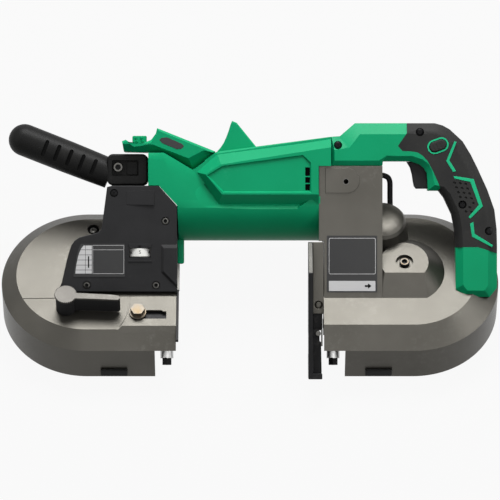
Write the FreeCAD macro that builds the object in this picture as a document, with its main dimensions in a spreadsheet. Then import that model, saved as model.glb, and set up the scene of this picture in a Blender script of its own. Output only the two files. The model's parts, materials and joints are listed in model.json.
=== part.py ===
import FreeCAD, Part
import math
import os
import Sketcher
from FreeCAD import Placement, Rotation, Vector

# Portable band saw, lying on the back rims of its two wheel casings.
# X runs along the saw, Z is the outward normal of the casing faces.
# The body (motor, gear block, handles, panel) leans forward by body_tilt
# about X, and is drawn in that leaning frame: x along, y up, z outward.

doc = FreeCAD.newDocument("portable_band_saw")
sheet = doc.addObject("Spreadsheet::Sheet", "sizes")

# Driving dimensions in millimetres and degrees.
sizes = {
    # scale and frames
    "mm_per_px": 1.085, "photo_mid_x": 250, "photo_face_y": 298,
    "drive_px": 404.83871, "idler_px": 95.16129,
    "body_tilt": 38, "body_origin_y": -32.8, "origin_y": 15.354, "cut_over": 1.0, "seat_gap": 0.2,
    "run_gap": 0.05, "free_gap": 0.3, "hand_gap": 0.6,
    # wheel casings
    "casing_depth": 60, "casing_radius": 94, "casing_flat": 3, "throat_half": 80,
    "casing_chamfer": 14, "casing_wall": 4, "rim_cut_length": 23, "rim_cut_below": 14,
    "rim_cut_over": 11, "mouth_over": 33, "return_mouth": 18,
    "bumper_length": 29, "bumper_thick": 3, "bumper_width": 10, "bumper_base": 4,
    "bumper_left_set": 15, "bumper_right_set": 52,
    # band wheels, and the blade that their guides are made for
    "wheel_set_in": 9, "wheel_y": 4, "wheel_below": 30, "wheel_clear": 15, "wheel_width": 16,
    "tyre_thick": 2, "rim_thick": 11, "web_thick": 6, "hub_radius": 18, "hub_length": 20,
    "wheel_hole_radius": 13, "wheel_hole_ring": 40, "wheel_hole_count": 6,
    "blade_thick": 0.65, "blade_width": 13,
    # drive
    "shaft_radius": 8, "gear_width": 10, "gear_below": 17,
    "drive_module": 2, "drive_teeth": 40, "drive_pinion_teeth": 12, "drive_angle": 117,
    "mid_module": 1.25, "mid_teeth": 40, "mid_pinion_teeth": 16,
    "mid_above": 6, "mid_width": 8, "mid_shaft_radius": 6, "pressure_angle": 25,
    "bevel_module": 1.0, "bevel_teeth": 28, "bevel_pinion_teeth": 10, "bevel_face": 6,
    "bevel_hub_radius": 7.2, "first_shaft_radius": 4, "tooth_slack": 0.18, "bevel_slack": 0.5,
    "bolt_head": 6, "bolt_radius": 4, "bolt_head_radius": 8, "wheel_bolt_radius": 12,
    # motor
    "motor_above": 31, "motor_y": 78, "motor_radius": 44, "motor_wall": 3.5,
    "rotor_radius": 22, "air_gap": 0.6,
    "motor_shaft_radius": 5, "bearing_radius": 11, "bearing_width": 8, "rear_bearing_set": 11.7,
    "front_bearing_set": 2.1, "fan_radius": 36, "fan_set": 10, "fan_width": 12, "fan_blades": 9,
    "fan_blade_thick": 2.2, "fan_hub": 10, "bearing_seat": 3,
    # gear housing
    "block_back": 80, "block_wall": 4, "boss_cap": 7, "recess_radius": 9.5, "recess_deep": 4,
    "boss_radius": 44, "boss_top_radius": 26, "boss_rise": 17, "shaft_screw_radius": 5.7,
    "shaft_screw_head": 2.4, "shaft_screw_pin": 3.3, "shaft_screw_length": 1.2,
    "bulge_radius": 29, "bulge_rise": 36, "bulge_round": 7, "second_rise": 17, "main_bearing_radius": 16,
    "main_bearing_width": 12, "tab_proud": 1.5, "tab_hole": 2.75, "label_thick": 0.5,
    # body shells
    "upper_back": 74, "upper_step": 8, "upper_front": 6, "shell_wall": 3.2,
    "handle_thick": 40, "grip_skin": 2.5, "trigger_thick": 14,
    "button_length": 19, "button_width": 11, "button_proud": 1.5, "button_travel": 3,
    "button_turn": 20, "button_deep": 9, "spring_stem": 3, "stem_wire": 0.7, "stem_turns": 5,
    "screw_radius": 4, "screw_deep": 3,
    # panel and battery mount
    "panel_depth": 60, "panel_wall": 3, "dial_radius": 13, "dial_width": 10, "dial_proud": 1.2,
    "board_thick": 3, "mount_front": 6, "mount_back": 66,
    "rail_depth": 4, "rail_width": 5, "terminal_thick": 2, "terminal_length": 14,
    "terminal_rise": 8, "terminal_pitch": 11, "terminal_count": 4, "terminal_base": 3,
    "guard_back": 52, "guard_front": 22, "post_radius": 3, "lug_wide": 8, "lug_gap": 0.3, "dial_pin": 2,
    "pad_proud": 2,
    # front handle
    "grip_radius": 17.5, "front_handle_z": -34, "block_thick": 34, "rib_slots": 5, "rib_width": 3.6,
    "rib_height": 18.5, "rib_depth": 4.4, "rib_first": 24.6, "rib_step": 14.2, "neck_recess": 8,
    "handle_bolt_radius": 5.2,
    # tension
    "lever_out": 22, "lever_y": -46.6, "lever_hub_radius": 12, "lever_rise": 25,
    "lever_arm": 59, "lever_arm_width": 11, "lever_arm_thick": 22, "lever_pin": 5, "lever_nose": 3,
    "cam_radius": 8, "cam_throw": 3, "cam_gap": 1.1, "cam_below": 14, "cam_thick": 8,
    "carriage_length": 44, "carriage_width": 36, "carriage_below": 16, "carriage_thick": 11.5,
    "carriage_travel": 6, "ear_thick": 8, "rail_lip": 6, "rail_lip_thick": 3, "spring_radius": 4.5,
    "spring_wire": 0.9, "spring_turns": 4, "spring_length": 16, "abutment": 4, "axle_collar_radius": 11.2,
    # guides
    "guide_slot_over": 17.5, "guide_bolt_set": 41.5, "guide_travel": 24, "guide_slot_width": 8.6,
    "guide_washer_radius": 9.2,
    "guide_set": 10, "guide_block_length": 22, "guide_plate_width": 15, "guide_plate_thick": 5,
    "roller_radius": 6.5, "roller_length": 13.5, "roller_pin": 3, "roller_tail": 9,
    "backup_radius": 5.5, "backup_width": 4, "backup_pin": 2, "backup_shift": 11, "lug_thick": 2,
    "guide_block_high": 10.5, "guide_block_over": 16.06, "guide_block_back": 16, "guide_block_front": 10.5,
    # stop plate
    "stop_set": 17, "stop_thick": 5, "stop_slot": 9, "stop_back": -9, "stop_front": 34,
    "stop_foot": 15, "stop_foot_thick": 6,
    # frame bridge
    "bridge_reach": 32, "bridge_wall": 5, "bridge_base": 14,
    # lamp lead
    "lead_radius": 3, "lead_bend": 12.7, "lead_z": -50, "lead_exit_y": 135, "lead_drop": 32,
}
for row, (alias, size) in enumerate(sizes.items(), 1):
    sheet.set(f"A{row}", alias)
    sheet.set(f"B{row}", str(size))
    sheet.setAlias(f"B{row}", alias)
doc.recompute()


# A number that remembers the sheet formula it came from.
class Size(float):
    def __new__(cls, value, text):
        item = float.__new__(cls, value)
        item.text = text
        return item

    def __add__(self, other):
        return Size(float(self) + float(other), f"({self.text} + {formula(other)})")

    def __radd__(self, other):
        return Size(float(other) + float(self), f"({formula(other)} + {self.text})")

    def __sub__(self, other):
        return Size(float(self) - float(other), f"({self.text} - {formula(other)})")

    def __rsub__(self, other):
        return Size(float(other) - float(self), f"({formula(other)} - {self.text})")

    def __mul__(self, other):
        return Size(float(self) * float(other), f"({self.text} * {formula(other)})")

    def __rmul__(self, other):
        return Size(float(other) * float(self), f"({formula(other)} * {self.text})")

    def __truediv__(self, other):
        return Size(float(self) / float(other), f"({self.text} / {formula(other)})")

    def __neg__(self):
        return Size(-float(self), f"(0 - {self.text})")


def formula(number):
    return number.text if isinstance(number, Size) else f"({float(number):.9f})"


class Sheet:
    def __getattr__(self, alias):
        return Size(sheet.get(alias), f"sizes.{alias}")


z = Sheet()
nodes = {}
face_level = 0

# Places that follow from the driving sizes.
casing_centre = z.throat_half + z.casing_flat + z.casing_radius
wheel_span = casing_centre - z.wheel_set_in
wheel_radius = z.casing_radius - z.casing_wall - z.wheel_clear
wheel_level = z.casing_depth - z.wheel_below
gear_level = z.casing_depth - z.gear_below
mid_level = z.casing_depth + z.mid_above
motor_level = z.casing_depth + z.motor_above
carriage_level = z.casing_depth - z.carriage_below
cam_level = z.casing_depth - z.cam_below
rim_cut_top = z.casing_depth - z.rim_cut_below
cutting_y = z.wheel_y - wheel_radius
rim_cut_y = cutting_y + z.rim_cut_over
mouth_top_y = cutting_y + z.mouth_over
guide_slot_y = cutting_y + z.guide_slot_over
guide_x = z.throat_half + z.guide_set
guide_bolt_x = -z.throat_half - z.guide_bolt_set
stop_x = z.throat_half - z.stop_set
lever_x = -casing_centre - z.lever_out
bridge_front = z.casing_radius - z.bridge_reach
lying = Placement(Vector(0, -z.origin_y, 0), Rotation())
leaning = lying.multiply(Placement(Vector(0, z.body_origin_y, z.casing_depth),
                                   Rotation(Vector(1, 0, 0), z.body_tilt)))
along_x = Rotation(Vector(0, 1, 0), 90)
along_y = Rotation(Vector(1, 0, 0), -90)
upright = Rotation()


def bind(item, prop, size):
    item.setExpression(prop, formula(size))


def put(item, frame, spot, turn=upright):
    item.Placement = frame.multiply(Placement(Vector(*[float(c) for c in spot]), turn))
    return item


def node(label, item):
    item.Label = label
    nodes[label] = item
    return item


def box(frame, spot, length, width, height, turn=upright):
    item = doc.addObject("Part::Box", "block")
    bind(item, "Length", length)
    bind(item, "Width", width)
    bind(item, "Height", height)
    return put(item, frame, spot, turn)


# A block from its low corner to its high corner.
def span(frame, low, high):
    return box(frame, low, *[top - base for base, top in zip(low, high)])


def rod(frame, spot, radius, height, turn=upright):
    item = doc.addObject("Part::Cylinder", "rod")
    bind(item, "Radius", radius)
    bind(item, "Height", height)
    return put(item, frame, spot, turn)


def cone(frame, spot, low, high, height, turn=upright):
    item = doc.addObject("Part::Cone", "taper")
    bind(item, "Radius1", low)
    bind(item, "Radius2", high)
    bind(item, "Height", height)
    return put(item, frame, spot, turn)


def fuse(*items):
    item = doc.addObject("Part::MultiFuse", "joined")
    item.Shapes = list(items)
    item.Refine = True
    return item


def cut(base, *tools):
    item = doc.addObject("Part::Cut", "trimmed")
    item.Base = base
    item.Tool = tools[0] if len(tools) == 1 else fuse(*tools)
    return item


def common(first, second):
    item = doc.addObject("Part::Common", "shared")
    item.Base = first
    item.Tool = second
    return item


def group(*items):
    item = doc.addObject("Part::Compound", "set")
    item.Links = list(items)
    return item


# A closed outline whose corners are held by named distances from the origin.
def outline(body, plane, points):
    sketch = body.newObject("Sketcher::SketchObject", "outline")
    flat = [f for f in body.Origin.OriginFeatures if f.Role == plane][0]
    sketch.AttachmentSupport = [(flat, "")]
    sketch.MapMode = "FlatFace"
    count = len(points)
    ends = [Vector(float(across), float(up), 0) for across, up in points]
    for n in range(count):
        sketch.addGeometry(Part.LineSegment(ends[n], ends[(n + 1) % count]))
    for n in range(count):
        sketch.addConstraint(Sketcher.Constraint("Coincident", n, 2, (n + 1) % count, 1))
    for n, (across, up) in enumerate(points):
        for kind, size in (("DistanceX", across), ("DistanceY", up)):
            mark = sketch.addConstraint(Sketcher.Constraint(kind, -1, 1, n, 1, float(size)))
            sketch.setExpression(f"Constraints[{mark}]", formula(size))
    return sketch


# A padded outline.
def slab(frame, spot, points, height, plane="XY_Plane", turn=upright):
    body = doc.addObject("PartDesign::Body", "slab")
    sketch = outline(body, plane, points)
    pad = body.newObject("PartDesign::Pad", "pad")
    pad.Profile = sketch
    bind(pad, "Length", height)
    body.Tip = pad
    return put(body, frame, spot, turn)


# An outline of radius and level turned about the upright axis.
def spun(frame, spot, points, turn=upright):
    body = doc.addObject("PartDesign::Body", "turned")
    sketch = outline(body, "XZ_Plane", points)
    ring = body.newObject("PartDesign::Revolution", "ring")
    ring.Profile = sketch
    ring.ReferenceAxis = (sketch, ["V_Axis"])
    ring.Angle = 360
    body.Tip = ring
    return put(body, frame, spot, turn)


# Places read from the photograph, as distances in the leaning frame. Its right half is
# measured from the drive wheel's axis and its left half from the idler wheel's axis.
def px_x(px):
    if px > z.photo_mid_x:
        return wheel_span + (px - z.drive_px) * z.mm_per_px
    return (px - z.idler_px) * z.mm_per_px - wheel_span


def px_y(py):
    return (z.photo_face_y - py) * z.mm_per_px


def mark(point):
    return px_x(point[0]), px_y(point[1])


def photo(points):
    return [mark(point) for point in points]


# A block in the leaning frame between two marks and two levels.
def photo_block(marks, back, front):
    low, high = marks
    return span(leaning, (*mark(low), back), (*mark(high), front))


# An outline drawn in by an even wall.
def inset(points, wall):
    wire = Part.makePolygon([Vector(float(a), float(b), 0) for a, b in points + points[:1]])
    return wire.makeOffset2D(-float(wall), 2)


def solid(label, shape, place=lying):
    item = doc.addObject("Part::Feature", label)
    item.Shape = shape
    item.Placement = place
    return item


# The hollow that an even wall leaves inside a padded outline.
def hollow(frame, spot, points, wall, height):
    face = Part.Face(inset(points, wall))
    return solid("hollow", face.extrude(Vector(0, 0, float(height))),
                 frame.multiply(Placement(Vector(*[float(c) for c in spot]), upright)))


# From the lying frame to the leaning frame.
def to_leaning(spot):
    return leaning.inverse().multiply(lying).multVec(Vector(*[float(c) for c in spot]))


# Wheel casings: a rounded tray with a bevelled face, open at the back.
def casing_form(side, inset_by):
    depth = z.casing_depth - inset_by
    radius = z.casing_radius - inset_by
    slope_start = z.casing_depth - z.casing_chamfer - inset_by * (math.sqrt(2) - 1)
    slope = depth - slope_start
    low = -z.cut_over * (inset_by > 0)
    centre = side * casing_centre
    end = z.throat_half + inset_by
    section = [(-radius, low), (radius, low), (radius, slope_start), (radius - slope, depth),
               (slope - radius, depth), (-radius, slope_start)]
    start = end if side > 0 else -casing_centre
    return fuse(rod(lying, (centre, 0, low), radius, slope_start - low),
                cone(lying, (centre, 0, slope_start), radius, radius - slope, slope),
                slab(lying, (start, 0, 0), section, casing_centre - end, "YZ_Plane"))


def across(side, near, far, low, high):
    left, right = (near, far) if side > 0 else (-far, -near)
    return span(lying, (left, low[0], low[1]), (right, high[0], high[1]))


def casing_cuts(side):
    wall_in = z.throat_half - z.cut_over
    wall_out = z.throat_half + z.casing_wall + z.cut_over
    run_y = z.wheel_y + wheel_radius
    half = z.return_mouth / 2
    inner_top = z.casing_depth - z.casing_wall
    return [casing_form(side, z.casing_wall),
            across(side, wall_in, z.throat_half + z.rim_cut_length,
                   (-z.casing_radius - z.cut_over, -z.cut_over), (rim_cut_y, rim_cut_top)),
            across(side, wall_in, wall_out,
                   (z.casing_wall - z.casing_radius, -z.cut_over), (mouth_top_y, inner_top)),
            across(side, wall_in, wall_out, (run_y - half, wheel_level - half),
                   (run_y + half, wheel_level + half))]


left_blank = casing_form(-1, 0)
right_blank = casing_form(1, 0)
face_low = z.casing_depth - z.casing_wall - z.cut_over
face_hole = z.casing_wall + 2 * z.cut_over

drive_spot = (wheel_span, z.wheel_y)
drive_reach = z.drive_module * (z.drive_teeth + z.drive_pinion_teeth) / 2
mid_reach = z.mid_module * (z.mid_teeth + z.mid_pinion_teeth) / 2
drive_way = math.radians(z.drive_angle)
second_spot = (drive_spot[0] + drive_reach * math.cos(drive_way),
               drive_spot[1] + drive_reach * math.sin(drive_way))
mid_way = math.pi - math.asin((z.motor_y - second_spot[1]) / mid_reach)
first_spot = (second_spot[0] + mid_reach * math.cos(mid_way),
              second_spot[1] + mid_reach * math.sin(mid_way))

slot_end = guide_bolt_x + z.guide_travel
slot_half = z.guide_slot_width / 2
node("left_casing", cut(
    left_blank, *casing_cuts(-1),
    rod(lying, (lever_x, z.lever_y, face_low), z.lever_pin + z.run_gap, face_hole),
    rod(lying, (guide_bolt_x, guide_slot_y, face_low), slot_half, face_hole),
    rod(lying, (slot_end, guide_slot_y, face_low), slot_half, face_hole),
    span(lying, (guide_bolt_x, guide_slot_y - slot_half, face_low),
         (slot_end, guide_slot_y + slot_half, face_low + face_hole))))

pinion_tip = z.drive_module * (z.drive_pinion_teeth / 2 + 1)
node("right_casing", cut(
    right_blank, *casing_cuts(1),
    rod(lying, (*drive_spot, face_low), z.main_bearing_radius + z.run_gap, face_hole),
    rod(lying, (*second_spot, face_low), pinion_tip + z.cut_over, face_hole)))

# Rubber bumpers on the lower rims.
node("bumpers", group(*[
    box(lying, (left, -z.casing_radius - z.bumper_thick, z.bumper_base),
        z.bumper_length, z.bumper_thick, z.bumper_width)
    for left in (z.bumper_left_set - casing_centre, casing_centre - z.bumper_right_set)]))

# The bridge under the motor joins the casings and covers the blade's return path.
bridge_top = motor_level - z.motor_radius - z.seat_gap
bridge_section = [(bridge_front, bridge_top - z.bridge_wall), (bridge_front, bridge_top),
                  (z.casing_radius, bridge_top), (z.casing_radius, z.bridge_base),
                  (z.casing_radius - z.return_mouth / 2, z.bridge_base),
                  (z.casing_radius - z.return_mouth / 2, z.bridge_base + z.bridge_wall),
                  (z.casing_radius - z.bridge_wall, z.bridge_base + z.bridge_wall),
                  (z.casing_radius - z.bridge_wall, bridge_top - z.bridge_wall)]
node("frame_bridge", slab(lying, (-z.throat_half, 0, 0), bridge_section, 2 * z.throat_half, "YZ_Plane"))


# Band wheels: hub, thin web with round holes, and a rim that carries a rubber tyre.
def band_wheel(centre, bore):
    rim = wheel_radius - z.tyre_thick
    half = z.wheel_width / 2
    web = z.web_thick / 2
    hub = z.hub_length / 2
    section = [(bore, -hub), (z.hub_radius, -hub), (z.hub_radius, -web), (rim - z.rim_thick, -web),
               (rim - z.rim_thick, -half), (rim, -half), (rim, half), (rim - z.rim_thick, half),
               (rim - z.rim_thick, web), (z.hub_radius, web), (z.hub_radius, hub), (bore, hub)]
    spot = (*centre, wheel_level)
    turns = [2 * math.pi * n / z.wheel_hole_count for n in range(round(z.wheel_hole_count))]
    holes = [rod(lying, (centre[0] + z.wheel_hole_ring * math.cos(a),
                         centre[1] + z.wheel_hole_ring * math.sin(a),
                         wheel_level - half), z.wheel_hole_radius, z.wheel_width) for a in turns]
    return cut(spun(lying, spot, section), *holes)


def tyre(centre):
    inner = wheel_radius - z.tyre_thick + z.run_gap
    low = wheel_level - z.wheel_width / 2
    return cut(rod(lying, (*centre, low), wheel_radius, z.wheel_width),
               rod(lying, (*centre, low - z.cut_over), inner, z.wheel_width + 2 * z.cut_over))


# A hexagonal head on a round shank, pointing up from its spot.
def hex_bolt(frame, spot, head_radius, head, shank_radius, shank, turn=upright):
    corners = [(head_radius * math.cos(math.pi * n / 3), head_radius * math.sin(math.pi * n / 3))
               for n in range(6)]
    place = frame.multiply(Placement(Vector(*[float(c) for c in spot]), turn))
    return fuse(slab(place, (0, 0, 0), corners, head),
                rod(place, (0, 0, head), shank_radius, shank))


idler_spot = (-wheel_span, z.wheel_y)
hub_low = wheel_level - z.hub_length / 2
hub_high = wheel_level + z.hub_length / 2
node("drive_wheel", band_wheel(drive_spot, z.shaft_radius + z.run_gap))
node("drive_tyre", tyre(drive_spot))
node("idler_wheel", band_wheel(idler_spot, z.shaft_radius + z.run_gap))
node("idler_tyre", tyre(idler_spot))
bolt_low = hub_low - z.bolt_head
node("drive_wheel_bolt", hex_bolt(lying, (*drive_spot, bolt_low), z.wheel_bolt_radius, z.bolt_head,
                                  z.bolt_radius, z.hub_length / 2))
node("idler_wheel_bolt", hex_bolt(lying, (*idler_spot, bolt_low - z.free_gap), z.wheel_bolt_radius,
                                  z.bolt_head, z.bolt_radius, z.hub_length / 2))


# Tooth heights and depths as shares of the module.
tip_share, root_share = 0.8, 1.05
bevel_tip_share, tooth_sink_share = 0.7, 1.2


# Involute outline of a spur gear with a tooth centred on the given direction.
def gear_wire(module, teeth, phase, slack):
    pressure = math.radians(z.pressure_angle)
    pitch = module * teeth / 2
    base = pitch * math.cos(pressure)
    tip = pitch + tip_share * module
    root = pitch - root_share * module
    flat = math.tan(pressure) - pressure
    half = math.pi / (2 * teeth) - slack / (2 * pitch)
    flank = []
    start = max(base, root)
    for n in range(5):
        radius = start + (tip - start) * n / 4
        bend = math.acos(min(1, base / radius))
        flank.append((radius, half + flat - (math.tan(bend) - bend)))
    if root < base:
        flank.insert(0, (root, flank[0][1]))
    points = []
    for n in range(round(teeth)):
        middle = phase + 2 * math.pi * n / teeth
        points += [(r, middle - a) for r, a in flank]
        points += [(r, middle + a) for r, a in reversed(flank)]
    return [Vector(r * math.cos(a), r * math.sin(a), 0) for r, a in points]


def gear_shape(module, teeth, phase, width, slack):
    corners = gear_wire(float(module), float(teeth), phase, float(slack))
    face = Part.Face(Part.makePolygon(corners + corners[:1]))
    return face.extrude(Vector(0, 0, float(width)))


def at(spot, level):
    return lying.multiply(Placement(Vector(float(spot[0]), float(spot[1]), float(level)), upright))


def gap_phase(way, teeth):
    return way + math.pi / teeth


# Spur stages: each pinion has a tooth on the line of centres, each wheel a gap.
drive_gear = solid("gear", gear_shape(z.drive_module, z.drive_teeth, gap_phase(drive_way, z.drive_teeth),
                                      z.gear_width, z.tooth_slack), at(drive_spot, gear_level))
node("drive_gear", cut(drive_gear, rod(lying, (*drive_spot, gear_level - z.cut_over),
                                       z.shaft_radius + z.run_gap, z.gear_width + 2 * z.cut_over)))
boss_top = z.casing_depth + z.boss_rise
shaft_top = boss_top - z.boss_cap
node("drive_shaft", cut(rod(lying, (*drive_spot, hub_low), z.shaft_radius, shaft_top - hub_low),
                        rod(lying, (*drive_spot, hub_low), z.bolt_radius + z.run_gap, z.hub_length / 2)))

second_pinion = solid("pinion", gear_shape(z.drive_module, z.drive_pinion_teeth, drive_way + math.pi,
                                           z.gear_width, z.tooth_slack), at(second_spot, gear_level))
second_top = z.casing_depth + z.second_rise
node("second_shaft", fuse(second_pinion, rod(lying, (*second_spot, gear_level), z.mid_shaft_radius,
                                             second_top - gear_level)))
mid_gear = solid("gear", gear_shape(z.mid_module, z.mid_teeth, gap_phase(mid_way, z.mid_teeth),
                                    z.mid_width, z.tooth_slack), at(second_spot, mid_level))
node("intermediate_gear", cut(mid_gear, rod(lying, (*second_spot, mid_level - z.cut_over),
                                            z.mid_shaft_radius + z.run_gap, z.mid_width + 2 * z.cut_over)))
bevel_radius = z.bevel_module * z.bevel_teeth / 2
pinion_radius = z.bevel_module * z.bevel_pinion_teeth / 2
bevel_level = motor_level - pinion_radius
first_pinion = solid("pinion", gear_shape(z.mid_module, z.mid_pinion_teeth, mid_way + math.pi,
                                          z.mid_width, z.tooth_slack), at(first_spot, mid_level))
first_low = z.casing_depth + z.free_gap
node("first_shaft", fuse(first_pinion, rod(lying, (*first_spot, first_low), z.first_shaft_radius,
                                           bevel_level - z.bevel_face / 2 - first_low)))


# A bevel gear hanging below the crossing of the axes, at the origin. Its straight-sided
# teeth stand on a root cone and shrink towards that crossing.
def bevel_shape(radius, away, teeth, phase, hub_radius, hub):
    radius, away, hub_radius, hub = [float(size) for size in (radius, away, hub_radius, hub)]
    length = math.hypot(radius, away)
    inner_share = 1 - float(z.bevel_face) / length
    module = float(z.bevel_module)
    half_pitch = math.pi * module / 4 - float(z.bevel_slack) / 4
    slope = math.tan(math.radians(z.pressure_angle))
    tip, root = bevel_tip_share * module, -root_share * module
    sunk = tooth_sink_share * root

    def place(depth):
        return radius + depth * away / length, -away + depth * radius / length

    def end(scale, middle):
        corners = []
        for depth, side in ((sunk, -1), (tip, -1), (tip, 1), (sunk, 1)):
            reach, level = place(depth)
            half = side * (half_pitch - max(depth, root) * slope)
            corners.append(Vector(reach * math.cos(middle) - half * math.sin(middle),
                                  reach * math.sin(middle) + half * math.cos(middle), level) * scale)
        return Part.makePolygon(corners + corners[:1])

    outer, inner = place(root), [share * inner_share for share in place(root)]
    low = -away - hub
    section = [(0, inner[1]), inner, outer, (outer[0], outer[1] - hub / 3), (hub_radius, outer[1] - hub / 3),
               (hub_radius, low), (0, low)]
    wire = Part.makePolygon([Vector(r, 0, up) for r, up in section + section[:1]])
    blank = Part.Face(wire).revolve(Vector(0, 0, 0), Vector(0, 0, 1), 360)
    turns = [phase + 2 * math.pi * n / teeth for n in range(round(teeth))]
    cogs = [Part.makeLoft([end(1, a), end(inner_share, a)], True, True) for a in turns]
    return blank.multiFuse(cogs)


crossing = at(first_spot, motor_level)
bevel_phase = gap_phase(math.pi, z.bevel_teeth)
bevel_gear = solid("bevel", bevel_shape(bevel_radius, pinion_radius, z.bevel_teeth, bevel_phase,
                                        z.bevel_hub_radius, z.bevel_face), crossing)
node("bevel_gear", cut(bevel_gear, rod(lying, (*first_spot, first_low), z.first_shaft_radius + z.run_gap,
                                       bevel_level - z.bevel_face / 2 - first_low + z.run_gap)))
bevel_pinion = solid("bevel", bevel_shape(pinion_radius, bevel_radius, z.bevel_pinion_teeth, 0,
                                          z.motor_shaft_radius, z.bevel_face), crossing)
bevel_pinion.Placement = crossing.multiply(Placement(Vector(), along_x))
node("bevel_pinion", bevel_pinion)

# Motor, along X: rotor on its shaft, stator around it, fan and bearings.
motor_left_px, block_left_px, block_right_px = 177.465, 319, 382.5
motor_left = px_x(motor_left_px)
block_left, block_right = px_x(block_left_px), px_x(block_right_px)
rotor_start_share, rotor_share = 0.213, 0.3256
rotor_left = motor_left + rotor_start_share * (block_left - motor_left)
rotor_length = rotor_share * (block_left - motor_left)
fan_x = rotor_left + rotor_length + z.fan_set
rear_bearing_x = motor_left + z.rear_bearing_set
front_bearing_x = block_left + z.front_bearing_set
shaft_left = rear_bearing_x - z.bearing_seat
shaft_right = float(first_spot[0]) - bevel_radius - z.bevel_face
axis_spot = (z.motor_y, motor_level)


def axial(left, radius, length):
    return rod(lying, (left, *axis_spot), radius, length, along_x)


node("motor_rotor", fuse(axial(shaft_left, z.motor_shaft_radius, shaft_right - shaft_left),
                         axial(rotor_left, z.rotor_radius, rotor_length)))
bore = z.motor_radius - z.motor_wall
rotor_room = axial(rotor_left - z.cut_over, z.rotor_radius + z.air_gap, rotor_length + 2 * z.cut_over)
node("stator", cut(axial(rotor_left, bore - z.run_gap, rotor_length), rotor_room))


def bearing(spot, inner, outer, width, turn=upright):
    return cut(rod(lying, spot, outer, width, turn), rod(lying, spot, inner + z.run_gap, width, turn))


motor_bearings = [bearing((x, *axis_spot), z.motor_shaft_radius, z.bearing_radius, z.bearing_width, along_x)
                  for x in (rear_bearing_x, front_bearing_x)]
main_bearing = bearing((*drive_spot, shaft_top - z.main_bearing_width), z.shaft_radius,
                       z.main_bearing_radius, z.main_bearing_width)
node("bearings", group(*motor_bearings, main_bearing))

vane = []
for n in range(round(z.fan_blades)):
    spin = Rotation(Vector(1, 0, 0), 360 * n / z.fan_blades)
    vane_frame = lying.multiply(Placement(Vector(fan_x, *axis_spot), spin))
    vane.append(span(vane_frame, (0, -z.fan_blade_thick / 2, z.motor_shaft_radius + 2 * z.run_gap),
                     (z.fan_width, z.fan_blade_thick / 2, z.fan_radius)))
fan_bore = z.motor_shaft_radius + z.run_gap
fan_hub = cut(axial(fan_x, z.fan_hub, z.fan_width), axial(fan_x, fan_bore, z.fan_width))
fan_disc = cut(axial(fan_x, z.fan_radius, z.fan_blade_thick), axial(fan_x, fan_bore, z.fan_blade_thick))
node("cooling_fan", fuse(fan_hub, fan_disc, *vane))

# Gear housing: an upright block, closed below by a floor on the casing face. Beside it
# the bearing cover has a low round boss over the drive shaft and a dome over the second.
floor_top = z.casing_depth + z.block_wall
far = z.casing_radius * 2
block_px = [(block_left_px, 166), (block_right_px, 166), (block_right_px, 302), (324.2, 302), (324.2, 241),
            (block_left_px, 241)]
tab_px = ((325.5, 193), (347, 168))
tab_end_px = (347, 180.5)
tab_hole_px = (346, 181.6)
gear_label_px = ((327, 293), (377.5, 235))
block = slab(leaning, (0, 0, -z.block_back), photo(block_px), z.block_back)
tab_radius = px_y(tab_px[1][1]) - px_y(tab_end_px[1])
tab = [photo_block(tab_px, -z.block_wall / 2, z.tab_proud),
       rod(leaning, (*mark(tab_end_px), -z.block_wall / 2), tab_radius, z.block_wall / 2 + z.tab_proud)]
boss = cut(cone(lying, (*drive_spot, z.casing_depth), z.boss_radius, z.boss_top_radius, z.boss_rise),
           span(leaning, (block_left, -far, 0), (block_left + 2 * far, far, far)))
dome_low = z.bulge_rise - z.bulge_round
dome_shares = [(0.88, 0), (0.8, 0.48), (0.64, 0.78), (0.4, 0.94)]
bulge = spun(lying, (*second_spot, z.casing_depth), [(0, 0), (z.bulge_radius, 0)] + [
    (z.bulge_radius * out, dome_low + z.bulge_round * up) for out, up in dome_shares]
    + [(0, z.bulge_rise)])
under_face = span(lying, (0, -far, -far), (2 * far, far, z.casing_depth))
over_floor = span(lying, (0, -far, floor_top), (2 * far, far, far))
block_room = common(hollow(leaning, (0, 0, z.block_wall - z.block_back), photo(block_px), z.block_wall,
                           z.block_back - 2 * z.block_wall), over_floor)
mid_tip = z.mid_module * (z.mid_teeth / 2 + 1)
mid_room = rod(lying, (*second_spot, floor_top), mid_tip + z.free_gap,
               mid_level + z.mid_width + z.cut_over - floor_top)
second_bores = [
    rod(lying, (*second_spot, z.casing_depth - z.cut_over), pinion_tip + z.cut_over,
        z.block_wall + 2 * z.cut_over),
    rod(lying, (*second_spot, mid_level), z.mid_shaft_radius + z.run_gap,
        second_top + z.run_gap - mid_level)]
casting = cut(fuse(block, *tab), under_face, block_room, mid_room)
seat_right = front_bearing_x + z.bearing_width
motor_seat = axial(block_left + z.block_wall / 2, z.bearing_radius + z.bearing_seat,
                   seat_right - block_left - z.block_wall / 2)
node("gear_housing", cut(
    fuse(casting, motor_seat),
    axial(front_bearing_x, z.bearing_radius + z.run_gap, z.bearing_width + z.cut_over),
    axial(block_left - z.cut_over, z.motor_shaft_radius + z.hand_gap, z.block_wall + 2 * z.cut_over),
    rod(leaning, (*mark(tab_hole_px), -z.block_wall - z.cut_over), z.tab_hole,
        z.block_wall + z.tab_proud + 2 * z.cut_over),
    *second_bores,
    rod(lying, (*first_spot, z.casing_depth - z.cut_over), z.first_shaft_radius + z.run_gap,
        z.block_wall + 2 * z.cut_over)))
node("bearing_cover", cut(
    fuse(boss, bulge), block, under_face, mid_room, *second_bores,
    rod(lying, (*drive_spot, z.casing_depth - z.cut_over), z.main_bearing_radius + z.run_gap,
        shaft_top + z.run_gap - z.casing_depth + z.cut_over),
    rod(lying, (*drive_spot, boss_top - z.recess_deep), z.recess_radius, z.recess_deep + z.cut_over)))
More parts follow.
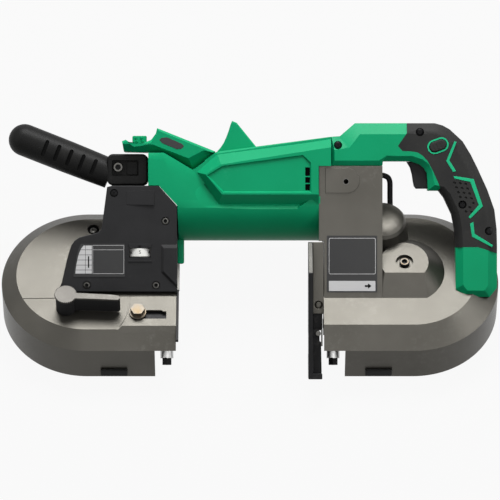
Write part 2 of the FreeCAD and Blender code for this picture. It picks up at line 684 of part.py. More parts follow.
node("shaft_screw", hex_bolt(lying, (*drive_spot, boss_top - z.recess_deep), z.shaft_screw_radius,
                             z.shaft_screw_head, z.shaft_screw_pin, z.shaft_screw_length))
gear_label = photo_block(gear_label_px, face_level, z.label_thick)

# Motor housing: a tube, a base behind the panel and a raised front, in two half shells.
axis_lean = to_leaning((0, *axis_spot))
tube_right = block_left - z.seat_gap
base_px = [(148.2, 152.5), (164, 152.5), (193, 170), (214, 154), (331, 137), (331, 165.6), (318.6, 165.6),
           (318.6, 215), (177.6, 215), (177.6, 206), (158.6, 185.4), (148.2, 185.4)]
front_px = [(194, 170), (215, 151.5), (330.5, 136.5), (330.5, 165.6), (318.6, 165.6), (313, 203), (222, 203)]


def motor_form(wall, over):
    room = z.motor_radius - wall
    left, right = motor_left + wall, tube_right - wall + over
    parts = [axial(left, room, right - left)]
    for points, back, front in ((photo(base_px), z.upper_back, z.upper_step),
                                (photo(front_px), z.upper_back - z.upper_step, -z.upper_front)):
        low, high = -back + wall, -front - wall
        if wall > 0:
            parts.append(hollow(leaning, (0, 0, low), points, wall, high - low))
        else:
            parts.append(slab(leaning, (0, 0, low), points, high - low))
    return fuse(*parts)


motor_skin = motor_form(0, 0)
motor_body = cut(motor_skin, motor_form(z.motor_wall, z.motor_wall))
rear_seat = axial(motor_left + z.motor_wall / 2, z.bearing_radius + z.bearing_seat,
                  rear_bearing_x + z.bearing_width - motor_left - z.motor_wall / 2)
bearing_room = axial(rear_bearing_x, z.bearing_radius + z.run_gap, z.bearing_width + z.cut_over)
shaft_room = axial(shaft_left - z.seat_gap, z.motor_shaft_radius + z.hand_gap,
                   rear_bearing_x - shaft_left + z.cut_over)
motor_body = cut(fuse(motor_body, rear_seat), bearing_room, shaft_room)
split = axis_lean.z
front_half = span(leaning, (-2 * far, -far, split + z.run_gap / 2), (2 * far, 2 * far, far))
rear_half = span(leaning, (-2 * far, -far, -far), (2 * far, 2 * far, split - z.run_gap / 2))
node("motor_housing_front", common(motor_body, front_half))
node("motor_housing_rear", common(motor_body, rear_half))


# Rear handle: one arched outline from the motor housing to the right casing. The soft
# grip wraps a core that is drawn in by the grip's skin; two half shells carry it.
handle_px = [(331.4, 136.5), (340, 136), (355, 123), (435, 123), (450, 129), (463, 141), (477.5, 167),
             (488, 190), (495, 210), (497.6, 247), (497.4, 288), (490, 297), (463, 297), (456, 289),
             (456, 247.5), (452, 214), (444, 197), (439, 190.5), (428, 190.5), (427, 173), (420, 164.5),
             (410, 161), (383, 161), (382.5, 165.6), (331.4, 165.6)]
grip_px = [(407, 110), (407, 133), (398, 146), (402.5, 151), (418, 152), (427, 160), (433.5, 172),
           (440.5, 188), (436, 192), (430, 215), (430, 247.5), (478, 247.2), (510, 257), (510, 110)]
handle_outline = photo(handle_px)
handle_deep = z.handle_thick
wall = z.shell_wall
skin = z.grip_skin
half_deep = handle_deep / 2
form = cut(slab(leaning, (0, 0, -handle_deep), handle_outline, handle_deep), right_blank)
core = hollow(leaning, (0, 0, skin - handle_deep), handle_outline, skin, handle_deep - 2 * skin)
room = hollow(leaning, (0, 0, skin + wall - handle_deep), handle_outline, skin + wall,
              handle_deep - 2 * skin - 2 * wall)
grip_zone = slab(leaning, (0, 0, -handle_deep - z.cut_over), photo(grip_px), handle_deep + 2 * z.cut_over)
trigger_slot_px = ((404, 189.4), (437, 151))
trigger_half = z.trigger_thick / 2 + z.hand_gap
trigger_slot = photo_block(trigger_slot_px, -half_deep - trigger_half, trigger_half - half_deep)
button_px = (438, 145.7)
button_spot = mark(button_px)
button_tilt = Rotation(Vector(0, 0, 1), z.button_turn)


# A round-ended bar standing along z of the leaning frame.
def oblong(spot, level, length, width, height):
    middle = Placement(Vector(float(spot[0]), float(spot[1]), float(level)), button_tilt)
    place = leaning.multiply(middle)
    reach = (length - width) / 2
    return fuse(rod(place, (-reach, 0, 0), width / 2, height), rod(place, (reach, 0, 0), width / 2, height),
                span(place, (-reach, -width / 2, 0), (reach, width / 2, height)))


button_hole = oblong(button_spot, -z.button_deep - z.button_travel, z.button_length + 2 * z.free_gap,
                     z.button_width + 2 * z.free_gap, z.button_deep + z.button_travel + z.button_proud)
handle_screw_px = [(338, 145), (420, 132), (462.5, 204.6), (489, 231)]


def screw_holes(spots, level):
    return [rod(leaning, (*mark(spot), level - z.screw_deep), z.screw_radius + z.run_gap,
                z.screw_deep + z.cut_over) for spot in spots]


def screws(spots, level):
    return [rod(leaning, (*mark(spot), level - z.screw_deep), z.screw_radius, z.screw_deep)
            for spot in spots]


grip = cut(common(form, grip_zone), core)
node("grip_cover", cut(grip, button_hole, trigger_slot, *screw_holes(handle_screw_px, face_level)))
shell = cut(fuse(cut(form, grip_zone), common(core, form)), room, trigger_slot, button_hole,
            *screw_holes(handle_screw_px, face_level))
near_side = span(leaning, (0, -far, z.run_gap / 2 - half_deep), (2 * far, 2 * far, far))
away_side = span(leaning, (0, -far, -far), (2 * far, 2 * far, -half_deep - z.run_gap / 2))
node("handle_front_shell", common(shell, near_side))
node("handle_rear_shell", common(shell, away_side))
node("lock_button", oblong(button_spot, -z.button_deep, z.button_length, z.button_width,
                           z.button_deep + z.button_proud))

# Trigger with its stem, return spring and switch.
trigger_px = [(407, 161.5), (411, 161.5), (411, 152.5), (424, 152.5), (424, 161), (428, 173), (429, 188.5),
              (415, 188.5), (412.5, 178)]
trigger_back = -half_deep - z.trigger_thick / 2
node("trigger", slab(leaning, (0, 0, trigger_back), photo(trigger_px), z.trigger_thick))
trigger_front = trigger_back + z.trigger_thick
switch_px = ((396, 148.5), (424, 133))
switch_foot_px = ((396, 150.5), (441, 148))
spring_stop_px = ((437.5, 159), (441, 150))
stem_px = (424, 156)
box_front = -skin - wall - z.seat_gap
box_back = skin + wall + z.seat_gap - handle_deep
node("switch_body", fuse(
    photo_block(switch_px, box_back, box_front),
    photo_block(switch_foot_px, trigger_back, trigger_front),
    photo_block(spring_stop_px, trigger_back, trigger_front)))


# A coil from quarter-turn arcs along x, with its least gap between turns printed.
def coil(place, radius, wire, turns, length):
    radius, wire, length = float(radius), float(wire), float(length)
    steps = round(4 * turns)

    def point(share):
        angle = 2 * math.pi * turns * share
        return Vector(length * share, radius * math.cos(angle), radius * math.sin(angle))

    arcs = [Part.Arc(point(n / steps), point((n + 0.5) / steps), point((n + 1) / steps)).toShape()
            for n in range(steps)]
    path = Part.Wire(arcs)
    heading = arcs[0].tangentAt(arcs[0].FirstParameter)
    ring = Part.Wire(Part.makeCircle(wire, point(0), heading))
    print("coil gap", round(length / turns - 2 * wire, 2))
    return solid("coil", path.makePipeShell([ring], True, False), place)


def leaning_at(x, y, level):
    return leaning.multiply(Placement(Vector(float(x), float(y), float(level)), upright))


stem_x, stem_y = mark(stem_px)
stem_right = stem_x + z.stem_wire + z.seat_gap
stem_room = px_x(spring_stop_px[0][0]) - z.stem_wire - z.seat_gap - stem_right
node("trigger_spring", coil(leaning_at(stem_right, stem_y, -half_deep), z.spring_stem, z.stem_wire,
                            round(z.stem_turns), stem_room))

# Lamp lead: out of the gear block, one bend, and down into the bulge.
lead_start = Vector(float(block_right - z.block_wall), float(z.lead_exit_y), float(z.lead_z))
lead_turn = float(z.lead_bend)
bend_in = lead_start + Vector(float(z.block_wall), 0, 0)
bend_mid = bend_in + Vector(lead_turn * math.sin(math.pi / 4), lead_turn * (math.cos(math.pi / 4) - 1), 0)
bend_out = bend_in + Vector(lead_turn, -lead_turn, 0)
lead_end = bend_out - Vector(0, float(z.lead_drop), 0)
lead_path = Part.Wire([stretch.toShape() for stretch in (
    Part.LineSegment(lead_start, bend_in), Part.Arc(bend_in, bend_mid, bend_out),
    Part.LineSegment(bend_out, lead_end))])
lead_ring = Part.Wire(Part.makeCircle(float(z.lead_radius), lead_start, Vector(1, 0, 0)))
lead = solid("lead", lead_path.makePipeShell([lead_ring], True, False), leaning)
print("lead volume share", round(lead.Shape.Volume / (lead_path.Length * math.pi * z.lead_radius ** 2), 3))
node("lamp_lead", cut(lead, block, bulge, right_blank))


# Battery mount: two side rails and a floor that slope down to the guard fin.
mount_px = [(121.7, 141), (125.5, 139.5), (133.7, 145), (141, 143.7), (151, 139.6), (155.6, 133.5),
            (157, 127.9), (215.3, 151.3), (213.5, 153.6), (193.2, 169.4), (161.5, 152.2), (123.5, 151.3)]
channel_px = [(117, 110), (160, 110), (225, 140), (214, 160), (202, 160), (160, 142), (149, 146), (117, 147)]
guard_px = [(217.2, 150.6), (223, 143.7), (232, 120.2), (236.7, 122.2), (256.6, 146.7), (256.6, 149.2),
            (218, 152.6)]
mount_deep = z.mount_back - z.mount_front
rail = z.rail_width + z.rail_depth
node("battery_mount", cut(
    slab(leaning, (0, 0, -z.mount_back), photo(mount_px), mount_deep),
    slab(leaning, (0, 0, rail - z.mount_back), photo(channel_px), mount_deep - 2 * rail),
    motor_skin))
node("battery_guard", cut(slab(leaning, (0, 0, -z.guard_back), photo(guard_px), z.guard_back - z.guard_front),
                          motor_skin))
slope_low, slope_high = mark(channel_px[4]), mark(channel_px[5])
slope_way = math.atan2(slope_low[1] - slope_high[1], slope_low[0] - slope_high[0])
terminal_px = (172, 147.15)
terminal_spot = Vector(*mark(terminal_px), -(z.mount_back + z.mount_front) / 2)
terminal_turn = Rotation(Vector(0, 0, 1), math.degrees(slope_way))
terminal_frame = leaning.multiply(Placement(terminal_spot, terminal_turn))
terminal_left = -(z.terminal_count - 1) / 2 * z.terminal_pitch
terminal_levels = [terminal_left + n * z.terminal_pitch for n in range(round(z.terminal_count))]
blades = [span(terminal_frame, (0, z.terminal_base - z.cut_over, level - z.terminal_thick / 2),
               (z.terminal_length, z.terminal_base + z.terminal_rise, level + z.terminal_thick / 2))
          for level in terminal_levels]
terminal_block = span(terminal_frame, (-z.terminal_base, z.run_gap, terminal_left - z.terminal_base),
                      (z.terminal_length + z.terminal_base, z.terminal_base, z.terminal_base - terminal_left))
node("battery_terminals", fuse(terminal_block, *blades))

# Control panel: a hollow cover on the left casing, with a thumb dial in its window.
panel_px = [(107, 187), (112, 185.6), (158.2, 185.6), (176.8, 206.2), (177.2, 292), (60, 292), (62, 285),
            (70, 255), (75, 240), (95, 232), (102, 226)]
panel_screw_px = [(165.4, 221), (86.7, 285.2), (156, 285.2), (114, 193)]
dial_px = (140, 252.5)
post_px = [(116, 205), (164, 208)]
side_pad_px = ((160, 288), (177.2, 244))
panel_label_px = ((75.5, 276), (124, 244))
board_px = ((112, 259), (170, 203))
dial_x, dial_y = mark(dial_px)
dial_z = z.dial_proud - z.dial_radius
window_half = z.dial_radius - z.panel_wall / 2
board_front = -z.dial_radius - z.dial_radius - z.board_thick
panel_form = cut(slab(leaning, (0, 0, -z.panel_depth), photo(panel_px), z.panel_depth), left_blank)
panel_room = hollow(leaning, (0, 0, -z.panel_depth - z.cut_over), photo(panel_px), z.panel_wall,
                    z.panel_depth + z.cut_over - z.panel_wall)
posts = [rod(leaning, (*spot, board_front), z.post_radius, -board_front - z.panel_wall / 2)
         for spot in photo(post_px)]
side_pad = photo_block(side_pad_px, -z.panel_wall / 2, z.pad_proud)
dial_lug = z.dial_width / 2 + z.lug_gap
node("control_panel", cut(
    fuse(cut(panel_form, panel_room), side_pad, *posts),
    span(leaning, (dial_x - window_half, dial_y - dial_lug, -z.panel_wall - z.cut_over),
         (dial_x + window_half, dial_y + dial_lug, z.cut_over)),
    *screw_holes(panel_screw_px, face_level)))
panel_label = photo_block(panel_label_px, face_level, z.label_thick)
node("label_plates", group(gear_label, panel_label))
dial_low = dial_y - z.dial_width / 2
node("speed_dial", cut(rod(leaning, (dial_x, dial_low, dial_z), z.dial_radius, z.dial_width, along_y),
                       rod(leaning, (dial_x, dial_low - z.cut_over, dial_z), z.dial_pin + z.run_gap,
                           z.dial_width + 2 * z.cut_over, along_y)))
lug_back = board_front - z.board_thick / 2
lugs = [span(leaning, (dial_x - z.lug_wide / 2, low, lug_back), (dial_x + z.lug_wide / 2, low + z.lug_thick,
                                                                 dial_z + z.lug_wide / 2))
        for low in (dial_y - dial_lug - z.lug_thick, dial_y + dial_lug)]
pin = rod(leaning, (dial_x, dial_y - dial_lug - z.lug_thick / 2, dial_z), z.dial_pin,
          2 * dial_lug + z.lug_thick, along_y)
node("controller_board", fuse(
    photo_block(board_px, board_front - z.board_thick, board_front), pin, *lugs))

# Front handle: a round grip that slopes into a bolted block.
grip_end_px, grip_foot_px = (23.2, 139.3), (109.2, 173.2)
handle_block_px = ((106.5, 185.2), (147.8, 153.6))
handle_recess_px = ((111.7, 175), (137.6, 160))
handle_bolt_px = (117.5, 166.8)
grip_end, grip_foot = mark(grip_end_px), mark(grip_foot_px)
grip_way = math.atan2(float(grip_foot[1] - grip_end[1]), float(grip_foot[0] - grip_end[0]))
grip_length = math.hypot(float(grip_foot[0] - grip_end[0]), float(grip_foot[1] - grip_end[1]))
grip_turn = Rotation(Vector(0, 0, 1), math.degrees(grip_way))
grip_frame = leaning.multiply(Placement(Vector(float(grip_end[0]), float(grip_end[1]),
                                               float(z.front_handle_z)), grip_turn))
ball = doc.addObject("Part::Sphere", "ball")
bind(ball, "Radius", z.grip_radius)
put(ball, grip_frame, (0, 0, 0))
ribs = [span(grip_frame, (z.rib_first + n * z.rib_step - z.rib_width / 2, -z.rib_height / 2,
                          z.grip_radius - z.rib_depth),
             (z.rib_first + n * z.rib_step + z.rib_width / 2, z.rib_height / 2, z.grip_radius + z.cut_over))
        for n in range(round(z.rib_slots))]
block_back = z.front_handle_z - z.block_thick / 2
block_front = z.front_handle_z + z.block_thick / 2
handle_block = photo_block(handle_block_px, block_back, block_front)
recess = photo_block(handle_recess_px, block_front - z.neck_recess, block_front + z.cut_over)
bolt_spot = mark(handle_bolt_px)
bolt_shaft = rod(leaning, (*bolt_spot, block_back), z.bolt_radius + z.run_gap, z.block_thick)
grip_bar = rod(grip_frame, (0, 0, 0), z.grip_radius, grip_length, along_x)
node("front_handle", cut(fuse(ball, grip_bar, handle_block), recess, bolt_shaft, *ribs))
node("front_handle_bolt", fuse(
    rod(leaning, (*bolt_spot, block_front - z.neck_recess), z.handle_bolt_radius, z.bolt_head),
    rod(leaning, (*bolt_spot, block_back), z.bolt_radius, z.block_thick - z.neck_recess)))


# Stop plate beside the right casing, slotted for the blade, on a bracket at its back.
blade_lean = to_leaning((0, z.wheel_y - wheel_radius - z.free_gap - z.blade_thick / 2, wheel_level))
blade_y, blade_z = blade_lean.y, blade_lean.z
stop_top_px, stop_low_px, bracket_low_px = 242, 378.5, 314
stop_top, stop_low = px_y(stop_top_px), px_y(stop_low_px)
stop_toe = (z.stop_front - z.stop_back) / 3
stop_outline = [(stop_top, z.stop_back), (stop_top, 0), (stop_top - z.stop_front, z.stop_front),
                (stop_low, z.stop_front), (stop_low, z.stop_back + stop_toe),
                (stop_low + stop_toe, z.stop_back)]
slot_half_width = z.blade_width / 2 + z.stop_slot / 2
node("stop_plate", cut(
    fuse(slab(leaning, (stop_x, 0, 0), stop_outline, z.stop_thick, "YZ_Plane"),
         span(leaning, (stop_x, stop_low, z.stop_back + stop_toe),
              (stop_x + z.stop_foot, stop_low + z.stop_foot_thick, z.stop_front))),
    span(leaning, (stop_x - z.cut_over, blade_y - slot_half_width, z.stop_back - z.cut_over),
         (stop_x + z.stop_thick + z.cut_over, blade_y + slot_half_width, blade_z + z.stop_slot / 2))))
bracket_left = stop_x + z.stop_thick
bracket_low = px_y(bracket_low_px)
stop_screw_px = [(318.5, 305)]
node("stop_bracket", cut(span(leaning, (bracket_left, bracket_low, z.stop_back - z.stop_thick),
                              (z.throat_half, stop_top, 0)),
                         *screw_holes(stop_screw_px, face_level)))
node("housing_screws", group(*screws(handle_screw_px + panel_screw_px + stop_screw_px, face_level)))


# A blade guide: a block with two upright roller pins and lugs for the roller that backs the blade.
roller_high = blade_y + z.roller_length / 2
roller_low = blade_y - z.roller_length / 2
roller_off = z.roller_radius + z.blade_thick / 2 + z.free_gap / 2
backup_y = blade_y + z.blade_width / 2 + z.backup_radius + z.free_gap
guide_block_low = blade_y + z.guide_block_over
plate_top = z.casing_depth - z.casing_wall


def guide_holder(side, plate_far, plate_gap):
    middle = side * guide_x
    reach = z.guide_block_length / 2
    back_x = side * (guide_x + z.backup_shift)
    block = span(leaning, (middle - reach, guide_block_low, blade_z - z.guide_block_back),
                 (middle + reach, guide_block_low + z.guide_block_high, z.guide_block_front + blade_z))
    near_x, far_x = sorted((side * z.throat_half, side * plate_far), key=float)
    plate_high = plate_top - plate_gap
    plate = span(lying, (near_x, guide_slot_y - z.guide_plate_width / 2, plate_high - z.guide_plate_thick),
                 (far_x, guide_slot_y + z.guide_plate_width / 2, plate_high))
    pieces = [block, plate]
    for z_off in (-roller_off, roller_off):
        spot_z = blade_z + z_off
        pin_low = roller_low - z.roller_tail
        pin_high = guide_block_low + z.cut_over
        collar_radius = z.roller_pin + z.lug_thick
        collar_high = roller_high + z.free_gap
        pieces += [
            rod(leaning, (middle, pin_low, spot_z), z.roller_pin, pin_high - pin_low, along_y),
            rod(leaning, (middle, pin_low, spot_z), collar_radius, z.roller_tail - z.free_gap, along_y),
            rod(leaning, (middle, collar_high, spot_z), collar_radius, pin_high - collar_high, along_y)]
    lug_in = z.backup_width / 2 + z.free_gap
    lug_low = backup_y - z.backup_pin - z.lug_thick
    lug_reach = z.backup_pin + z.lug_thick
    lugs = [span(leaning, (back_x - lug_reach, lug_low, blade_z + low), (back_x + lug_reach,
                 guide_block_low + z.backup_radius, blade_z + low + z.lug_thick))
            for low in (lug_in, -lug_in - z.lug_thick)]
    room = rod(leaning, (back_x, backup_y, blade_z - lug_in), z.backup_radius + z.hand_gap, 2 * lug_in)
    pin = rod(leaning, (back_x, backup_y, blade_z - lug_in - z.lug_thick), z.backup_pin,
              2 * lug_in + 2 * z.lug_thick)
    return fuse(cut(fuse(*pieces, *lugs), room), pin)


def side_roller(side, z_off):
    spot = (side * guide_x, roller_low, blade_z + z_off)
    return cut(rod(leaning, spot, z.roller_radius, z.roller_length, along_y),
               rod(leaning, spot, z.roller_pin + z.run_gap, z.roller_length, along_y))


def backup_roller(side):
    spot = (side * (guide_x + z.backup_shift), backup_y, blade_z - z.backup_width / 2)
    return cut(rod(leaning, spot, z.backup_radius, z.backup_width),
               rod(leaning, spot, z.backup_pin + z.run_gap, z.backup_width))


plate_end = -guide_bolt_x + z.guide_plate_width / 2
shank_low = plate_top - z.free_gap - z.guide_plate_thick
node("left_guide_holder", cut(guide_holder(-1, plate_end, z.free_gap),
                              rod(lying, (guide_bolt_x, guide_slot_y, shank_low - z.cut_over),
                                  z.bolt_radius + z.run_gap, z.guide_plate_thick + 2 * z.cut_over)))
node("right_guide_holder", guide_holder(1, plate_end, 0))
for side, name in ((-1, "left"), (1, "right")):
    node(f"{name}_front_roller", side_roller(side, roller_off))
    node(f"{name}_rear_roller", side_roller(side, -roller_off))
    node(f"{name}_backup_roller", backup_roller(side))
bolt_seat = z.casing_depth + z.free_gap
hex_flip = Rotation(Vector(1, 0, 0), 180)
guide_bolt_top = bolt_seat + z.lug_thick + z.bolt_head
node("guide_bolt", fuse(
    hex_bolt(lying, (guide_bolt_x, guide_slot_y, guide_bolt_top), z.bolt_head_radius, z.bolt_head,
             z.bolt_radius, z.lug_thick + bolt_seat - shank_low, hex_flip),
    rod(lying, (guide_bolt_x, guide_slot_y, bolt_seat), z.guide_washer_radius, z.lug_thick)))

# Blade tension: lever, cam, and the carriage that carries the idler wheel on rails.
lever_base = z.casing_depth + z.free_gap
lever_top = z.casing_depth + z.lever_rise
cam_high = cam_level + z.cam_thick
arm_low = lever_top - z.lever_arm_thick
lever_spot = (lever_x, z.lever_y)
tip_radius = z.lever_arm_width / 2
node("tension_lever", fuse(
    rod(lying, (*lever_spot, lever_base), z.lever_hub_radius, lever_top - lever_base),
    span(lying, (lever_x, z.lever_y - tip_radius, arm_low), (lever_x + z.lever_arm - tip_radius,
                                                              z.lever_y + tip_radius, lever_top)),
    rod(lying, (lever_x + z.lever_arm - tip_radius, z.lever_y, arm_low), tip_radius, z.lever_arm_thick),
    rod(lying, (*lever_spot, cam_high + z.run_gap), z.lever_pin, lever_base - cam_high),
    rod(lying, (*lever_spot, cam_level), z.lever_nose, cam_high + z.free_gap - cam_level)))
cam_spot = (lever_x - z.cam_throw, z.lever_y, cam_level)
node("tension_cam", cut(rod(lying, cam_spot, z.cam_radius, z.cam_thick),
                        rod(lying, (*lever_spot, cam_level), z.lever_nose + z.run_gap, z.cam_thick)))
carriage_half = z.carriage_width / 2
carriage_left = idler_spot[0] - z.carriage_length / 2
carriage_right = idler_spot[0] + z.carriage_length / 2
carriage_top = carriage_level + z.carriage_thick
ear_left = lever_x - z.cam_throw + z.cam_radius + z.cam_gap
collar_low = hub_high + z.free_gap
axle = cut(rod(lying, (*idler_spot, hub_low), z.shaft_radius, carriage_level - hub_low),
           rod(lying, (*idler_spot, hub_low), z.bolt_radius + z.run_gap, z.hub_length / 2))
node("idler_carriage", fuse(
    span(lying, (carriage_left, z.wheel_y - carriage_half, carriage_level),
         (carriage_right, z.wheel_y + carriage_half, carriage_top)),
    span(lying, (ear_left, z.lever_y - z.cam_radius, cam_level),
         (ear_left + z.ear_thick, z.wheel_y - carriage_half + z.cut_over, cam_high)),
    rod(lying, (*idler_spot, collar_low), z.axle_collar_radius, carriage_level - collar_low), axle))
rail_low = carriage_level - z.free_gap - z.rail_lip_thick
rail_left = ear_left + z.ear_thick + z.carriage_travel + 2 * z.cut_over
rail_right = carriage_right + z.spring_length
rail_in = carriage_half + z.free_gap
rails = []
for side in (-1, 1):
    for near, top in ((rail_in, plate_top), (carriage_half - z.rail_lip, carriage_level - z.free_gap)):
        edges = (z.wheel_y + side * near, z.wheel_y + side * (rail_in + z.rail_lip))
        low_y, high_y = sorted(edges, key=float)
        rails.append(span(lying, (rail_left, low_y, rail_low), (rail_right + z.abutment, high_y, top)))
abutment = span(lying, (rail_right, z.wheel_y - rail_in - z.cut_over, rail_low),
                (rail_right + z.abutment, z.wheel_y + rail_in + z.cut_over, plate_top))
node("carriage_rails", fuse(abutment, *rails))
spring_in = z.spring_wire + z.seat_gap
spring_level = carriage_level + z.carriage_thick / 2
spring_place = at((carriage_right + spring_in, z.wheel_y), spring_level)
node("tension_spring", coil(spring_place, z.spring_radius, z.spring_wire, round(z.spring_turns),
                            z.spring_length - 2 * spring_in))


# Every piece is checked before any file is written.
doc.recompute()
failed = [item.Label for item in doc.Objects if {"Invalid", "Error"} & set(item.State)]
failed += [label for label, item in nodes.items() if item.Shape.isNull() or not item.Shape.isValid()
           or not item.Shape.Solids]
if failed:
    raise RuntimeError("failed pieces: " + ", ".join(failed))
os.makedirs("parts", exist_ok=True)
for label, item in nodes.items():
    item.Shape.exportStep(f"parts/{label}.step")
    print(label, len(item.Shape.Solids), round(item.Shape.Volume))
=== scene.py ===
import json
import math
import bmesh
import bpy
from mathutils import Matrix, Vector

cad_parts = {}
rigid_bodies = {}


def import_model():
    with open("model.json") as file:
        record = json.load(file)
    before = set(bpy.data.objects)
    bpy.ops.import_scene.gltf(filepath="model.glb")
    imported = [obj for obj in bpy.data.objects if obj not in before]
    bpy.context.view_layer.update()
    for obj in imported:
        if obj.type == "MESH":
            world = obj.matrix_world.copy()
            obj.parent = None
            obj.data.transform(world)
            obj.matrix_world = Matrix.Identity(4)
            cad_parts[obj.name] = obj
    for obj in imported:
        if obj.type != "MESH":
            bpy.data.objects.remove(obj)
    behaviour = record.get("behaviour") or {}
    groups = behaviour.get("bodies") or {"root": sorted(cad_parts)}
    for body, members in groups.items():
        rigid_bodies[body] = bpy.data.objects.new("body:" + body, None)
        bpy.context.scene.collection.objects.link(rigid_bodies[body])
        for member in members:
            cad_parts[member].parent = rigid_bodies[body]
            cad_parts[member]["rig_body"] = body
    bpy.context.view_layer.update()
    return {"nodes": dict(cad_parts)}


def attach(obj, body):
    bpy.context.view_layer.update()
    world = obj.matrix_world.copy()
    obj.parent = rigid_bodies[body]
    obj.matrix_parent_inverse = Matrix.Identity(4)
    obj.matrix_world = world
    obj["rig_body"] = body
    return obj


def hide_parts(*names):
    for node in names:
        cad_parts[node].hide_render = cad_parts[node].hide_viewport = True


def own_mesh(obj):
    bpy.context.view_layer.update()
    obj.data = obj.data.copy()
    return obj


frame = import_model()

nodes = frame["nodes"]
print("frame loaded:", len(nodes), "nodes")

# The saw lies on its casing backs. Its body leans, and the leaning plane faces the camera.
leanPlane = {"tilt": 38.0, "midX": 250.0, "faceY": 298.0, "mmPerPx": 1.085, "backY": -48.154, "rise": 60.0,
             "flatY": -15.354, "faceSlope": -0.7813}
mm = 0.001
overrun = 1.0  # mm by which a cutter passes the face that it cuts
mergeSpan = 1e-6  # metres within which corners become one
nodeSmooth = 40  # degrees above which an edge of a CAD node's copy stays sharp
lean = (Matrix.Translation((0, leanPlane["backY"] * mm, leanPlane["rise"] * mm))
        @ Matrix.Rotation(math.radians(leanPlane["tilt"]), 4, "X"))
flat = Matrix.Translation((0, leanPlane["flatY"] * mm, 0))  # the casings' own frame


def mark(px, py, level=0.0):  # a place in the photograph, and its level in mm, in the leaning plane
    across = (px - leanPlane["midX"]) * leanPlane["mmPerPx"]
    up = (leanPlane["faceY"] - py) * leanPlane["mmPerPx"]
    return Vector((across, up, level)) * mm


def atPhoto(px, py, level, turn=0.0):  # a seat at such a place, turned by some degrees
    return Matrix.Translation(mark(px, py, level)) @ Matrix.Rotation(math.radians(turn), 4, "Z")


# bmesh helpers
def vertsOf(result):
    return [item for item in result["geom"] if isinstance(item, bmesh.types.BMVert)]


def slabOf(points, rise):  # a closed outline raised along its normal by rise in mm
    bm = bmesh.new()
    face = bm.faces.new([bm.verts.new(point) for point in points])
    face.normal_update()
    if face.normal.z < 0:
        face.normal_flip()
    grown = bmesh.ops.extrude_face_region(bm, geom=[face])
    bmesh.ops.translate(bm, verts=vertsOf(grown), vec=(0, 0, rise * mm))
    bmesh.ops.recalc_face_normals(bm, faces=bm.faces)
    return bm


def edgesAt(bm, level, tolerance=0.02):  # edges that lie at one level, in mm
    low, high = (level - tolerance) * mm, (level + tolerance) * mm
    return [edge for edge in bm.edges if all(low <= vert.co.z <= high for vert in edge.verts)]


def soften(bm, edges, width, segments=3):
    if edges:
        bmesh.ops.bevel(bm, geom=edges, offset=width * mm, offset_type="OFFSET", affect="EDGES",
                        segments=segments, profile=0.5, material=-1, clamp_overlap=True)
    return bm


def sharpEdges(bm, degrees=30):
    limit = math.radians(degrees)
    return [edge for edge in bm.edges if edge.is_manifold and edge.calc_face_angle(0) > limit]


def rodOf(radius, length, start=(0, 0, 0), along="Z", sides=32, tip=None):  # mm
    bm = bmesh.new()
    bmesh.ops.create_cone(bm, cap_ends=True, segments=sides, radius1=radius * mm,
                          radius2=(radius if tip is None else tip) * mm, depth=length * mm)
    bmesh.ops.translate(bm, verts=bm.verts, vec=(0, 0, length * mm / 2))
    turn = {"X": Matrix.Rotation(math.pi / 2, 4, "Y"), "Y": Matrix.Rotation(-math.pi / 2, 4, "X"),
            "Z": Matrix.Identity(4)}[along]
    bm.transform(Matrix.Translation(Vector(start) * mm) @ turn)
    return bm


def boxOf(low, high):  # a block between two corners, in metres
    bm = bmesh.new()
    bmesh.ops.create_cube(bm, size=1)
    low, high = Vector(low), Vector(high)
    bm.transform(Matrix.Translation((low + high) / 2) @ Matrix.Diagonal((*(high - low), 1)))
    return bm


def photoBox(corners, back, front):  # a block between two photograph places and two levels
    (left, low), (right, top) = corners
    return boxOf(mark(left, low, back), mark(right, top, front))


def joinInto(bm, other):
    loose = bpy.data.meshes.new("loose")
    other.to_mesh(loose)
    other.free()
    bm.from_mesh(loose)
    bpy.data.meshes.remove(loose)
    return bm


def spunOf(profile, sides=48):  # radius and level pairs turned about Z, in mm
    bm = bmesh.new()
    line = [bm.verts.new(Vector((radius, 0, level)) * mm) for radius, level in profile]
    edges = [bm.edges.new(pair) for pair in zip(line, line[1:])]
    bmesh.ops.spin(bm, geom=line + edges, cent=(0, 0, 0), axis=(0, 0, 1), angle=2 * math.pi, steps=sides,
                   use_merge=True)
    bmesh.ops.remove_doubles(bm, verts=bm.verts, dist=mergeSpan)
    bmesh.ops.recalc_face_normals(bm, faces=bm.faces)
    return bm


def cutMesh(bm, tool, operation="DIFFERENCE"):  # a boolean of two bmeshes, as a new bmesh
    pair = []
    for part in (bm, tool):
        mesh = bpy.data.meshes.new("cutStock")
        part.to_mesh(mesh)
        part.free()
        pair.append(bpy.data.objects.new("cutStock", mesh))
        bpy.context.scene.collection.objects.link(pair[-1])
    step = pair[0].modifiers.new("cut", "BOOLEAN")
    step.operation = operation
    step.solver = "EXACT"
    step.object = pair[1]
    done = bmesh.new()
    bpy.context.view_layer.update()
    result = pair[0].evaluated_get(bpy.context.evaluated_depsgraph_get())
    done.from_mesh(result.data)
    for obj in pair:
        mesh = obj.data
        bpy.data.objects.remove(obj)
        bpy.data.meshes.remove(mesh)
    bmesh.ops.remove_doubles(done, verts=done.verts, dist=mergeSpan)
    return done


def loftOf(rings):  # closed outlines with equal counts of points, skinned in turn and capped
    bm = bmesh.new()
    hoops = []
    for ring in rings:
        corners = [bm.verts.new(point) for point in ring]
        hoops.append([bm.edges.new((corners[n - 1], corners[n])) for n in range(len(corners))])
    for near, far in zip(hoops, hoops[1:]):
        bmesh.ops.bridge_loops(bm, edges=near + far)
    bmesh.ops.edgeloop_fill(bm, edges=hoops[0])
    bmesh.ops.edgeloop_fill(bm, edges=hoops[-1])
    bmesh.ops.recalc_face_normals(bm, faces=bm.faces)
    return bm


